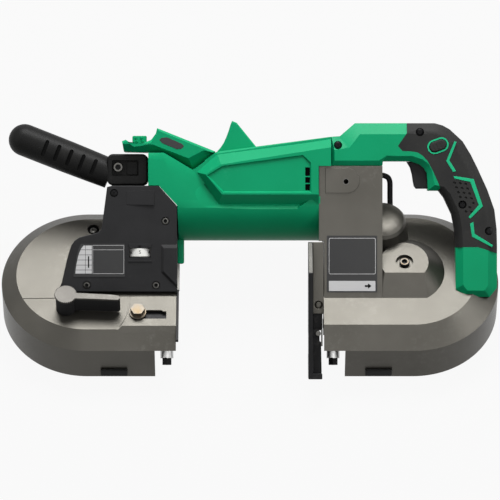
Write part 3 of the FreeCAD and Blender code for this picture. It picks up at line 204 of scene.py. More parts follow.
def levelled(outline, levels):  # photograph places with a level for each, or one for all
    if isinstance(levels, (int, float)):
        levels = [levels] * len(outline)
    return [mark(px, py, level) for (px, py), level in zip(outline, levels)]


def crisp(bm, width=0.6, degrees=20):  # join flat faces, then break the edges that are left
    bmesh.ops.dissolve_limit(bm, angle_limit=math.radians(0.8), verts=bm.verts, edges=bm.edges)
    return soften(bm, sharpEdges(bm, degrees), width, 2)


def finishPiece(bm, name, body, finish, standsFor=(), place=lean, smooth=32):
    bm.transform(place)
    mesh = bpy.data.meshes.new(name)
    bm.to_mesh(mesh)
    bm.free()
    mesh.materials.append(finish)
    for polygon in mesh.polygons:
        polygon.use_smooth = True
    mesh.set_sharp_from_angle(angle=math.radians(smooth))
    obj = bpy.data.objects.new(name, mesh)
    bpy.context.scene.collection.objects.link(obj)
    even = obj.modifiers.new("evenShade", "WEIGHTED_NORMAL")  # flat faces stay flat beside their bevels
    even.keep_sharp = True
    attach(obj, body)
    if standsFor:
        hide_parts(*standsFor)
    return obj


def nodeCopy(node):  # a merged copy of a CAD node's mesh
    bm = bmesh.new()
    bm.from_mesh(nodes[node].data)
    bmesh.ops.remove_doubles(bm, verts=bm.verts, dist=2 * mergeSpan)
    return bm


# A CAD node with its edges broken: a copy with flat faces joined and sharp edges bevelled.
def dressNode(node, finish, slot, width, segments=2, angle=28, tools=(), within=None):
    bm = nodeCopy(node)
    if within:
        bm = cutMesh(bm, within, "INTERSECT")
    for tool in tools:
        bm = cutMesh(bm, tool)
    bmesh.ops.dissolve_limit(bm, angle_limit=math.radians(1.0), verts=bm.verts, edges=bm.edges)
    soften(bm, sharpEdges(bm, angle), width, segments)
    return finishPiece(bm, node + "_dressed", nodes[node]["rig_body"], finish, [node],
                       Matrix.Identity(4), nodeSmooth)


# Finishes
def openGroup(name, inputs, outputs):
    group = bpy.data.node_groups.new(name, "ShaderNodeTree")
    for label, kind, value in inputs:
        socket = group.interface.new_socket(name=label, in_out="INPUT", socket_type=kind)
        socket.default_value = value
    for label, kind in outputs:
        group.interface.new_socket(name=label, in_out="OUTPUT", socket_type=kind)
    return group, group.nodes.new("NodeGroupInput"), group.nodes.new("NodeGroupOutput")


def noiseNode(tree, vector, scale, detail=3.0, roughness=0.55):
    noise = tree.nodes.new("ShaderNodeTexNoise")
    noise.inputs["Detail"].default_value = detail
    noise.inputs["Roughness"].default_value = roughness
    if hasattr(scale, "is_output"):
        tree.links.new(scale, noise.inputs["Scale"])
    else:
        noise.inputs["Scale"].default_value = scale
    tree.links.new(vector, noise.inputs["Vector"])
    return noise.outputs["Fac"]


def rangeNode(tree, value, fromLow, fromHigh, toLow, toHigh):
    span = tree.nodes.new("ShaderNodeMapRange")
    for label, number in (("From Min", fromLow), ("From Max", fromHigh), ("To Min", toLow), ("To Max", toHigh)):
        if hasattr(number, "is_output"):
            tree.links.new(number, span.inputs[label])
        else:
            span.inputs[label].default_value = number
    tree.links.new(value, span.inputs["Value"])
    return span.outputs["Result"]


def mixColour(tree, share, first, second):
    mix = tree.nodes.new("ShaderNodeMix")
    mix.data_type = "RGBA"
    for label, socket in (("Factor", share), ("A", first), ("B", second)):
        found = [s for s in mix.inputs if s.name == label and s.enabled]
        tree.links.new(socket, found[0])
    return [s for s in mix.outputs if s.enabled][0]


# Grain: a slow drift of two tones, a fine tooth for roughness and bump.
def buildGrain():
    group, entry, leave = openGroup(
        "surfaceGrain",
        [("Tone", "NodeSocketColor", (0.5, 0.5, 0.5, 1)), ("Drift", "NodeSocketColor", (0.4, 0.4, 0.4, 1)),
         ("Drift Scale", "NodeSocketFloat", 18.0), ("Tooth Scale", "NodeSocketFloat", 900.0),
         ("Smoothest", "NodeSocketFloat", 0.3), ("Roughest", "NodeSocketFloat", 0.5),
         ("Tooth Depth", "NodeSocketFloat", 0.1)],
        [("Colour", "NodeSocketColor"), ("Roughness", "NodeSocketFloat"), ("Normal", "NodeSocketVector")])
    place = group.nodes.new("ShaderNodeTexCoord").outputs["Object"]
    drift = rangeNode(group, noiseNode(group, place, entry.outputs["Drift Scale"]), 0.35, 0.68, 0.0, 1.0)
    tooth = noiseNode(group, place, entry.outputs["Tooth Scale"], 2.0)
    bump = group.nodes.new("ShaderNodeBump")
    bump.inputs["Distance"].default_value = 0.0004
    group.links.new(tooth, bump.inputs["Height"])
    group.links.new(entry.outputs["Tooth Depth"], bump.inputs["Strength"])
    group.links.new(mixColour(group, drift, entry.outputs["Tone"], entry.outputs["Drift"]),
                    leave.inputs["Colour"])
    group.links.new(rangeNode(group, tooth, 0.3, 0.7, entry.outputs["Smoothest"], entry.outputs["Roughest"]),
                    leave.inputs["Roughness"])
    group.links.new(bump.outputs["Normal"], leave.inputs["Normal"])
    return group


# Rub: broken pale flecks where hands and benches touch.
def buildRub():
    group, entry, leave = openGroup(
        "rubbedFlecks",
        [("Base", "NodeSocketColor", (0.1, 0.1, 0.1, 1)), ("Bare", "NodeSocketColor", (0.3, 0.3, 0.3, 1)),
         ("Amount", "NodeSocketFloat", 0.2), ("Fleck Scale", "NodeSocketFloat", 160.0)],
        [("Colour", "NodeSocketColor"), ("Mask", "NodeSocketFloat")])
    place = group.nodes.new("ShaderNodeTexCoord").outputs["Object"]
    patch = rangeNode(group, noiseNode(group, place, 14.0, 2.0), 0.5, 0.72, 0.0, 1.0)
    specks = noiseNode(group, place, entry.outputs["Fleck Scale"], 5.0, 0.7)
    fleck = rangeNode(group, specks, 0.52, 0.7, 0.0, 1.0)
    both = group.nodes.new("ShaderNodeMath")
    both.operation = "MULTIPLY"
    group.links.new(patch, both.inputs[0])
    group.links.new(fleck, both.inputs[1])
    share = group.nodes.new("ShaderNodeMath")
    share.operation = "MULTIPLY"
    group.links.new(both.outputs[0], share.inputs[0])
    group.links.new(entry.outputs["Amount"], share.inputs[1])
    group.links.new(mixColour(group, share.outputs[0], entry.outputs["Base"], entry.outputs["Bare"]),
                    leave.inputs["Colour"])
    group.links.new(share.outputs[0], leave.inputs["Mask"])
    return group


grainGroup, rubGroup = buildGrain(), buildRub()


def linear(red, green, blue):  # screen colour, 0 to 255, to a shader colour
    return tuple((c / 255 / 12.92 if c <= 10 else ((c / 255 + 0.055) / 1.055) ** 2.4)
                 for c in (red, green, blue)) + (1.0,)


finishSpecs = {
    "castMetal": {"tone": (76, 74, 69), "drift": (69, 67, 62), "driftScale": 16, "toothScale": 1500,
                  "rough": (0.3, 0.44), "depth": 0.28, "metallic": 0.8, "bare": (124, 123, 118), "rub": 0.2},
    "darkCast": {"tone": (78, 76, 72), "drift": (70, 68, 65), "driftScale": 16, "toothScale": 1500,
                 "rough": (0.36, 0.5), "depth": 0.25, "metallic": 0.75, "bare": (150, 149, 145), "rub": 0.2},
    "greenShell": {"tone": (6, 140, 94), "drift": (4, 133, 88), "driftScale": 12, "toothScale": 2200,
                   "rough": (0.36, 0.46), "depth": 0.07, "metallic": 0.0, "bare": (80, 184, 142), "rub": 0.12,
                   "specular": 0.09},
    "greenTrim": {"tone": (30, 170, 120), "drift": (22, 158, 110), "driftScale": 14, "toothScale": 1800,
                  "rough": (0.36, 0.48), "depth": 0.08, "metallic": 0.0, "bare": (100, 200, 160), "rub": 0.1,
                  "specular": 0.12},
    "blackPlastic": {"tone": (38, 38, 39), "drift": (32, 32, 33), "driftScale": 20, "toothScale": 1700,
                     "rough": (0.4, 0.55), "depth": 0.16, "metallic": 0.0, "bare": (80, 80, 78), "rub": 0.15,
                     "specular": 0.1},
    "softGrip": {"tone": (42, 42, 41), "drift": (34, 34, 34), "driftScale": 22, "toothScale": 1100,
                 "rough": (0.5, 0.66), "depth": 0.3, "metallic": 0.0, "bare": (74, 73, 70), "rub": 0.2,
                 "specular": 0.1},
    "gripBlack": {"tone": (20, 20, 19), "drift": (15, 15, 15), "driftScale": 22, "toothScale": 1300,
                  "rough": (0.38, 0.52), "depth": 0.3, "metallic": 0.0, "bare": (60, 59, 57), "rub": 0.2,
                  "specular": 0.1},
    "labelFilm": {"tone": (48, 48, 48), "drift": (43, 43, 44), "driftScale": 10, "toothScale": 2600,
                  "rough": (0.3, 0.38), "depth": 0.04, "metallic": 0.0, "bare": (80, 80, 80), "rub": 0.1,
                  "specular": 0.2},
    "labelPale": {"tone": (188, 188, 188), "drift": (178, 178, 179), "driftScale": 14, "toothScale": 2600,
                  "rough": (0.32, 0.42), "depth": 0.04, "metallic": 0.0, "bare": (215, 215, 215), "rub": 0.1},
    "brightSteel": {"tone": (205, 204, 200), "drift": (186, 185, 180), "driftScale": 60, "toothScale": 2600,
                    "rough": (0.2, 0.34), "depth": 0.08, "metallic": 1.0, "bare": (235, 235, 232), "rub": 0.2},
    "zincSteel": {"tone": (88, 86, 82), "drift": (92, 80, 62), "driftScale": 90, "toothScale": 2200,
                  "rough": (0.34, 0.46), "depth": 0.1, "metallic": 0.9, "bare": (140, 134, 122), "rub": 0.2},
    "wornSteel": {"tone": (88, 87, 84), "drift": (78, 77, 74), "driftScale": 60, "toothScale": 2300,
                  "rough": (0.3, 0.42), "depth": 0.1, "metallic": 0.9, "bare": (120, 119, 116), "rub": 0.2},
    "blackSteel": {"tone": (24, 24, 25), "drift": (19, 19, 20), "driftScale": 40, "toothScale": 2000,
                   "rough": (0.34, 0.46), "depth": 0.1, "metallic": 0.1, "bare": (100, 98, 95), "rub": 0.3,
                   "specular": 0.1},
    "tyreRubber": {"tone": (36, 36, 36), "drift": (30, 30, 31), "driftScale": 26, "toothScale": 900,
                   "rough": (0.6, 0.75), "depth": 0.3, "metallic": 0.0, "bare": (70, 69, 67), "rub": 0.25},
    "wheelAlloy": {"tone": (196, 196, 195), "drift": (180, 180, 179), "driftScale": 30, "toothScale": 1900,
                   "rough": (0.28, 0.42), "depth": 0.12, "metallic": 0.9, "bare": (226, 226, 225), "rub": 0.2},
    "whitePlastic": {"tone": (226, 226, 222), "drift": (216, 216, 211), "driftScale": 16, "toothScale": 2000,
                     "rough": (0.36, 0.46), "depth": 0.06, "metallic": 0.0, "bare": (238, 238, 236),
                     "rub": 0.1},
    "brassContact": {"tone": (214, 178, 104), "drift": (196, 158, 88), "driftScale": 70, "toothScale": 2400,
                     "rough": (0.22, 0.34), "depth": 0.06, "metallic": 1.0, "bare": (240, 220, 170),
                     "rub": 0.2},
    "copperWinding": {"tone": (184, 104, 62), "drift": (160, 84, 48), "driftScale": 120, "toothScale": 1300,
                      "rough": (0.3, 0.45), "depth": 0.3, "metallic": 0.9, "bare": (214, 150, 110), "rub": 0.2},
    "boardGreen": {"tone": (26, 84, 52), "drift": (20, 70, 44), "driftScale": 40, "toothScale": 1500,
                   "rough": (0.35, 0.5), "depth": 0.1, "metallic": 0.0, "bare": (70, 130, 96), "rub": 0.1},
    # Near-black for print, and also painted shade: dark sheets laid in slots, sockets, wells and behind vents
    # where shade falls
    "paintedShadeAndInk": {"tone": (16, 16, 16), "drift": (12, 12, 12), "driftScale": 20, "toothScale": 1200,
                   "rough": (0.6, 0.8), "depth": 0.1, "metallic": 0.0, "bare": (26, 26, 26), "rub": 0.1,
                   "specular": 0.05},
}


def makeFinish(name, spec):
    material = bpy.data.materials.new(name)
    material.use_nodes = True
    tree = material.node_tree
    shader = tree.nodes["Principled BSDF"]
    grain = tree.nodes.new("ShaderNodeGroup")
    grain.node_tree = grainGroup
    grain.inputs["Tone"].default_value = linear(*spec["tone"])
    grain.inputs["Drift"].default_value = linear(*spec["drift"])
    grain.inputs["Drift Scale"].default_value = spec["driftScale"]
    grain.inputs["Tooth Scale"].default_value = spec["toothScale"]
    grain.inputs["Smoothest"].default_value, grain.inputs["Roughest"].default_value = spec["rough"]
    grain.inputs["Tooth Depth"].default_value = spec["depth"]
    rub = tree.nodes.new("ShaderNodeGroup")
    rub.node_tree = rubGroup
    rub.inputs["Bare"].default_value = linear(*spec["bare"])
    rub.inputs["Amount"].default_value = spec["rub"]
    tree.links.new(grain.outputs["Colour"], rub.inputs["Base"])
    tree.links.new(rub.outputs["Colour"], shader.inputs["Base Color"])
    tree.links.new(grain.outputs["Roughness"], shader.inputs["Roughness"])
    tree.links.new(grain.outputs["Normal"], shader.inputs["Normal"])
    shader.inputs["Metallic"].default_value = spec["metallic"]
    shader.inputs["Specular IOR Level"].default_value = spec.get("specular", 0.4)
    return material


finishes = {name: makeFinish(name, spec) for name, spec in finishSpecs.items()}
print("finishes made:", len(finishes))


# Carried-over nodes: the finish of each, its record slot and how far its edges are broken in mm
nodeFinishes = {
    "bumpers": ("softGrip", "soft_grip", 0.8), "frame_bridge": ("blackPlastic", "die_cast", 0.8),
    "drive_wheel": ("wheelAlloy", "wheel_alloy", 0.8), "idler_wheel": ("wheelAlloy", "wheel_alloy", 0.8),
    "drive_tyre": ("tyreRubber", "tyre", 0.5), "idler_tyre": ("tyreRubber", "tyre", 0.5),
    "drive_wheel_bolt": ("blackSteel", "steel", 0.6), "idler_wheel_bolt": ("blackSteel", "steel", 0.6),
    "drive_gear": ("brightSteel", "steel", 0), "drive_shaft": ("brightSteel", "steel", 0.4),
    "second_shaft": ("brightSteel", "steel", 0), "intermediate_gear": ("brightSteel", "steel", 0),
    "first_shaft": ("brightSteel", "steel", 0), "bevel_gear": ("brightSteel", "steel", 0),
    "bevel_pinion": ("brightSteel", "steel", 0), "motor_rotor": ("brightSteel", "steel", 0.4),
    "stator": ("copperWinding", "steel", 0.6), "bearings": ("brightSteel", "steel", 0.4),
    "cooling_fan": ("blackPlastic", "black_plastic", 0), "switch_body": ("blackPlastic", "black_plastic", 0.4),
    "battery_terminals": ("brassContact", "brass", 0.3),
    "controller_board": ("boardGreen", "black_plastic", 0.2),
    "stop_bracket": ("castMetal", "die_cast", 0.8), "left_guide_holder": ("blackSteel", "dark_steel", 0.5),
    "right_guide_holder": ("darkCast", "die_cast", 0.5), "left_front_roller": ("brightSteel", "steel", 0.5),
    "left_rear_roller": ("brightSteel", "steel", 0.5), "left_backup_roller": ("brightSteel", "steel", 0.5),
    "right_front_roller": ("brightSteel", "steel", 0.5), "right_rear_roller": ("brightSteel", "steel", 0.5),
    "right_backup_roller": ("brightSteel", "steel", 0.5), "tension_cam": ("blackSteel", "dark_steel", 0.5),
    "idler_carriage": ("darkCast", "die_cast", 0.6), "carriage_rails": ("darkCast", "die_cast", 0.5),
}
for nodeName, (finishName, slotName, breakWidth) in nodeFinishes.items():
    if breakWidth:
        dressNode(nodeName, finishes[finishName], slotName, breakWidth)
    else:
        nodes[nodeName].data.materials.clear()
        nodes[nodeName].data.materials.append(finishes[finishName])
print("nodes dressed:", len(nodeFinishes))


# Springs: each coil is copied in bright steel onto the body of its node
springSpecs = {"trigger_spring": ("trigger_pull", 0.203437, 0.58),
               "tension_spring": ("carriage_slide", -0.13, 0.62)}


def makeSpring(node, joint, seatX, keep):
    spring = finishPiece(nodeCopy(node), node + "_coil", nodes[node]["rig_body"], finishes["brightSteel"],
                         [node], Matrix.Identity(4), nodeSmooth)
    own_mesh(spring)


for springName, springSpec in springSpecs.items():
    makeSpring(springName, *springSpec)
print("springs made")


# Casings: a sloped border round each face. The left face has a parting line, an arc, a slot and a sunk screw.
casingSpec = {
    "breakWidth": 1.4, "segments": 2, "angle": 24, "face": 60.0, "slopeLow": 46.0, "formLow": -5.0,
    "radius": 94.0, "centre": 177.0, "end": 80.0, "endOver": 2.0, "over": 0.1,
    "slopes": {"left": (18.6, 16.5, 18.0), "right": (25.0, 24.0, 16.0)},
    "straights": {"left": [(2, 23.5), (60, 23.5), (64, 18.6)], "right": [(2, 25.0)]}, "steps": 64,
    "liner": (0.15, 0.9), "linerShares": (0.06, 0.97), "lineWidth": 0.9, "lineDeep": 0.8,
    "lines": [[(19.6, 298.6), (55.0, 298.2)], [(119.0, 296.2), (177.0, 295.8)],
              [(130.0, 296.4), (130.2, 305.4), (127.8, 313.6), (124.4, 321), (120.0, 327.0)]],
    "slot": ((140.0, 318.4), (166.6, 311.2)), "slotDeep": 6.0,
    "sunkScrew": (91.6, 229.2), "sunkRadius": 6.6, "sunkDeep": 2.6, "sunkLift": 0.4,
    "shadePlay": 0.1, "shadeThick": 0.6, "shadeSunk": 0.4,
}


def onFace(px, py, level):  # the place on a casing face that shows at a photograph place, in the casings' frame
    up = (leanPlane["faceY"] - py) * leanPlane["mmPerPx"]
    across = (px - leanPlane["midX"]) * leanPlane["mmPerPx"]
    spot = flat.inverted() @ lean @ (Vector((across, up, leanPlane["faceSlope"] * up)) * mm)
    return Vector((spot.x, spot.y, level * mm))


def slopeLine(spec, name, share, drop=0.0):  # a line round a casing, from its outer edge at 0 to its face at 1
    front, aside, back = spec["slopes"][name]
    side = -1 if name == "left" else 1
    level = spec["slopeLow"] + (spec["face"] - spec["slopeLow"]) * share - drop
    spots = []
    for inward, width in spec["straights"][name]:
        spots.append((spec["end"] - spec["endOver"] + inward, width * share - spec["radius"]))
    for n in range(spec["steps"] + 1):
        turn = math.radians(180 * n / spec["steps"] - 90)
        width = aside * math.cos(turn) ** 2 + (front if turn < 0 else back) * math.sin(turn) ** 2
        reach = spec["radius"] - width * share
        spots.append((spec["centre"] + reach * math.cos(turn), reach * math.sin(turn)))
    spots.append((spec["end"], spec["radius"] - back * share))
    return [Vector((side * x, y, level)) * mm for x, y in spots]


def casingForm(spec, name):  # all that lies under the slope and the face
    over = spec["over"]
    low = slopeLine(spec, name, -over)
    foot = [Vector((spot.x, spot.y, spec["formLow"] * mm)) for spot in low]
    rings = [foot, low, slopeLine(spec, name, 1 + over)]
    for ring in rings:
        for n in (0, -1):
            ring[n].x *= 1 - spec["endOver"] / spec["end"]
    form = loftOf(rings)
    form.transform(flat)
    return form


def casingLiner(spec, name):  # closes the slope from inside
    top, low = spec["liner"]
    outer, inner = spec["linerShares"]
    lines = [slopeLine(spec, name, share, drop)
             for share, drop in ((outer, top), (inner, top), (inner, low), (outer, low))]
    return loftOf([list(ring) for ring in zip(*lines)])


def lineTool(route, spec):  # a narrow bar along a run of places, sunk into the face
    low = spec["face"] - spec["lineDeep"]
    sides = ([], [])
    spots = [onFace(px, py, low) for px, py in route]
    for n, spot in enumerate(spots):
        run = spots[min(n + 1, len(spots) - 1)] - spots[max(n - 1, 0)]
        aside = Vector((-run.y, run.x, 0)).normalized() * spec["lineWidth"] * mm / 2
        sides[0].append(spot + aside)
        sides[1].append(spot - aside)
    bar = slabOf(sides[0] + sides[1][::-1], spec["lineDeep"] + overrun)
    bar.transform(flat)
    return bar


def makeCasings(spec):
    seat = Matrix.Translation(onFace(*spec["sunkScrew"], spec["face"] - spec["sunkDeep"]))
    well = rodOf(spec["sunkRadius"], spec["sunkDeep"] + overrun, (0, 0, 0), "Z", 36)
    well.transform(flat @ seat)
    slot = boxOf(onFace(*spec["slot"][0], spec["face"] - spec["slotDeep"]),
                 onFace(*spec["slot"][1], spec["face"] + 2 * overrun))
    slot.transform(flat)
    cuts = {"left": [lineTool(route, spec) for route in spec["lines"]] + [well, slot], "right": []}
    for name, tools in cuts.items():
        dressNode(name + "_casing", finishes["castMetal"], "die_cast", spec["breakWidth"], spec["segments"],
                  spec["angle"], tools, casingForm(spec, name))
        finishPiece(casingLiner(spec, name), name + "CasingLiner", "frame", finishes["castMetal"],
                    (), flat)
    # A dark disc on the floor of the sunk screw's well: painted shade
    shade = rodOf(spec["sunkRadius"] - spec["shadePlay"], spec["shadeThick"], (0, 0, -spec["shadeSunk"]),
                  "Z", 36)
    finishPiece(shade, "sunkScrewShade", "frame", finishes["paintedShadeAndInk"], (), flat @ seat)


makeCasings(casingSpec)
print("casings made")


# Motor housing: a tube and a base whose bevelled border frames a raised front
motorSpec = {
    "axis": (106.4, -43.8), "radius": 44.0, "bore": 40.2, "ends": (-78.7, 74.66), "split": -43.8, "seam": 0.05,
    "boreLength": 152.0, "boreStart": 3.4, "tubeEdge": 1.6, "edge": 0.7, "raisedEdge": 0.6, "rearEdge": 5.0,
    "base": [(148.2, 152.6), (164, 152.6), (193, 170), (214, 154), (331, 137), (331, 165.6), (318.6, 165.6),
             (318.6, 200), (177.6, 200), (177.6, 206), (158.6, 185.4), (148.2, 185.4)],
    "rearBase": [(148.2, 152.6), (164, 152.6), (193, 170), (214, 152), (331, 136.8), (331, 165.6),
                 (318.6, 165.6), (318.6, 200), (177.6, 200), (177.6, 206), (158.6, 185.4), (148.2, 185.4)],
    "baseLevels": (-74.0, 0.2),
    "grooveFloor": [(140, 152.6), (162, 152.6), (193, 169.8), (218.6, 204), (300, 204), (311.2, 197),
                    (340, 120), (140, 120)],
    "grooveTop": [(140, 164), (166.4, 164), (172.6, 181.8), (197, 210.6), (293, 215.4), (313, 198),
                  (340, 118), (140, 118)],
    "grooveLevels": (-3.3, 2.0),
    "raised": [(194.5, 171.5), (216.5, 151.6), (331, 136.6), (331, 166), (318.6, 166), (318.6, 205.5),
               (311.5, 201), (300, 204), (218.6, 204)],
    "raisedLevels": [-6, -6, -6, -6, -6, -0.6, -1.0, -3.4, -3.4],
    "front": [(205.5, 174.5), (221, 164.5), (331, 147.3), (331, 166), (318.6, 166), (318.6, 194.5),
              (311.5, 194.5), (304, 194.5), (222, 194.5)],
    "field": [(206.9, 175.4), (222.4, 165.9), (303, 155), (310.9, 162.8), (311.2, 168), (311.2, 186),
              (311.2, 192.6), (304, 192.6), (223.2, 192.6)],
    "fieldFloor": [(208.4, 175.8), (222.9, 167), (302.6, 156.2), (309.9, 163.4), (310.1, 168), (310.1, 186),
                   (310.1, 191.4), (304, 191.4), (223.9, 191.4)],
    "frontLevel": 6.0, "fieldLevel": 4.2, "fieldLip": 0.01, "fieldOver": 4.0,
    "vents": [(167.4, 176), (177.2, 183), (184.2, 190.4)], "ventX": (305.2, 310.0), "ventLevels": (-4.0, 9.0),
    "ventMargin": 1.0, "ventShadeLevels": (-3.9, -1.0),
    "flange": ((176.4, 264), (183.4, 238)), "flangeLevels": (-66.0, -34.0), "flangeEdge": 2.0,
}


def tubeHalf(spec, front):
    left, right = spec["ends"]
    tube = rodOf(spec["radius"], right - left, (left, *spec["axis"]), "X", 96)
    soften(tube, [edge for edge in tube.edges if edge.calc_face_angle(0) > 1], spec["tubeEdge"], 3)
    gap = spec["seam"] if front else -spec["seam"]
    bmesh.ops.bisect_plane(tube, geom=tube.verts[:] + tube.edges[:] + tube.faces[:],
                           plane_co=(0, 0, (spec["split"] + gap) * mm), plane_no=(0, 0, 1),
                           clear_inner=front, clear_outer=not front)
    bmesh.ops.holes_fill(tube, edges=[edge for edge in tube.edges if edge.is_boundary])
    bmesh.ops.recalc_face_normals(tube, faces=tube.faces)
    return tube


def motorBore(spec):  # the room for the stator
    start = (spec["ends"][0] + spec["boreStart"], *spec["axis"])
    return rodOf(spec["bore"], spec["boreLength"], start, "X", 96)


def makeMotorFront(spec):
    split, face = spec["split"] + spec["seam"], spec["frontLevel"]
    floor, top = spec["grooveLevels"]
    body = bmesh.new()
    for stock in (slabOf(levelled(spec["base"], split), spec["baseLevels"][1] - split), tubeHalf(spec, True)):
        groove = loftOf([levelled(spec["grooveFloor"], floor), levelled(spec["grooveTop"], top)])
        joinInto(body, crisp(cutMesh(cutMesh(stock, groove), motorBore(spec)), spec["edge"], 24))
    raised = loftOf([levelled(spec["raised"], split), levelled(spec["raised"], spec["raisedLevels"]),
                     levelled(spec["front"], face)])
    field = loftOf([levelled(spec["fieldFloor"], spec["fieldLevel"]),
                    levelled(spec["field"], face + spec["fieldLip"]),
                    levelled(spec["field"], face + spec["fieldOver"])])
    raised = cutMesh(raised, field)
    left, right = spec["ventX"]
    for high, low in spec["vents"]:
        raised = cutMesh(raised, photoBox(((left, low), (right, high)), *spec["ventLevels"]))
    joinInto(body, crisp(raised, spec["raisedEdge"]))
    flange = photoBox(spec["flange"], *spec["flangeLevels"])
    joinInto(body, soften(flange, flange.edges[:], spec["flangeEdge"], 3))
    finishPiece(body, "motorFront", "frame", finishes["greenShell"], ["motor_housing_front"])
    # A dark block behind the vent slots: painted shade in the recess, not a part
    high, low, margin = spec["vents"][0][0], spec["vents"][-1][1], spec["ventMargin"]
    corners = ((left - margin, low + margin), (right + margin, high - margin))
    backing = photoBox(corners, *spec["ventShadeLevels"])
    finishPiece(backing, "ventPaintedShade", "frame", finishes["paintedShadeAndInk"])


def makeMotorRear(spec):
    split = spec["split"] - spec["seam"]
    back = spec["baseLevels"][0]
    base = slabOf(levelled(spec["rearBase"], back), split - back)
    soften(base, edgesAt(base, back), spec["rearEdge"], 4)
    body = joinInto(cutMesh(base, motorBore(spec)), cutMesh(tubeHalf(spec, False), motorBore(spec)))
    finishPiece(body, "motorRear", "frame", finishes["greenShell"], ["motor_housing_rear"])


makeMotorFront(motorSpec)
makeMotorRear(motorSpec)
print("motor housing made")


# Battery mount: two rails over a sloped floor, a stop on the far rail, a dark window, and the guard fin
mountSpec = {
    "outline": [(121.7, 141), (125.5, 139.5), (133.7, 145), (141, 143.7), (151, 139.6), (155.6, 133.5),
                (157, 127.9), (215.3, 151.3), (213.5, 153.6), (193.2, 169.4), (161.5, 152.2),
                (123.5, 151.3)],
    "face": [(122.2, 142.6), (125.7, 141.3), (133.8, 146.8), (141.3, 145.8), (151.6, 141.8), (156.6, 135.6),
             (158.4, 130.6), (212.8, 152.3), (203.4, 150.2), (188.2, 158.2), (152, 144.2), (122.6, 143.8)],
    "shoulder": [-8] * 8 + [-15, -16, -16, -14], "levels": (-66.0, -6.0), "edge": 0.7,
    "channel": [(117, 110), (160, 110), (225, 140), (214, 160), (202, 160), (160, 142), (149, 146),
                (117, 147)],
    "channelLevels": (-57.0, -15.0), "stop": ((131, 146.5), (145.5, 134.5)), "stopLevels": (-65.6, -57.2),
    "stopEdge": 1.2, "bumpRows": 3, "bumpsInRow": 2, "bumpStart": (134.6, 136.6), "bumpStep": (5.6, 3.2),
    "bump": {"radius": 1.5, "length": 1.2, "tip": 0.9}, "bumpSunk": 0.2,
    "window": [(159.2, 139.6), (161.6, 137.5), (167, 137.2), (181.4, 143.4), (184, 145.8), (181.6, 148.6),
               (176.6, 149), (162, 143)],
    "fin": [(217.2, 150.6), (220.4, 147.2), (223.4, 142.6), (226, 137), (228.6, 130), (230.4, 124),
            (232, 120.2), (236.7, 122.2), (256.6, 146.7), (256.6, 149.2), (218, 152.6)],
    "finLevels": (-52.0, -22.0), "finEdge": 2.0, "windowSunk": 0.4, "windowThick": 0.7, "windowEdge": 0.25,
}


def makeMount(spec):
    back, front = spec["levels"]
    body = loftOf([levelled(spec["outline"], back), levelled(spec["outline"], spec["shoulder"]),
                   levelled(spec["face"], front)])
    low, high = spec["channelLevels"]
    body = cutMesh(body, slabOf(levelled(spec["channel"], low), high - low))
    crisp(body, spec["edge"])
    stop = photoBox(spec["stop"], *spec["stopLevels"])
    soften(stop, stop.edges[:], spec["stopEdge"], 2)
    (startX, startY), (stepX, stepY) = spec["bumpStart"], spec["bumpStep"]
    for row in range(spec["bumpRows"]):
        for step in range(spec["bumpsInRow"]):
            bump = rodOf(**spec["bump"], sides=16)
            bump.transform(atPhoto(startX + stepX * step + row % 2, startY + stepY * row,
                                   spec["stopLevels"][1] - spec["bumpSunk"]))
            joinInto(stop, bump)
    joinInto(body, stop)
    finishPiece(body, "batteryMount", "frame", finishes["greenShell"], ["battery_mount"])
    low = front - spec["windowSunk"]
    window = slabOf(levelled(spec["window"], low), spec["windowThick"])
    soften(window, edgesAt(window, low + spec["windowThick"]), spec["windowEdge"], 2)
    finishPiece(window, "mountWindow", "frame", finishes["labelFilm"])
    low, high = spec["finLevels"]
    fin = slabOf(levelled(spec["fin"], low), high - low)
    soften(fin, edgesAt(fin, low) + edgesAt(fin, high), spec["finEdge"], 3)
    finishPiece(fin, "guardFin", "frame", finishes["greenShell"], ["battery_guard"])


makeMount(mountSpec)
print("battery mount made")


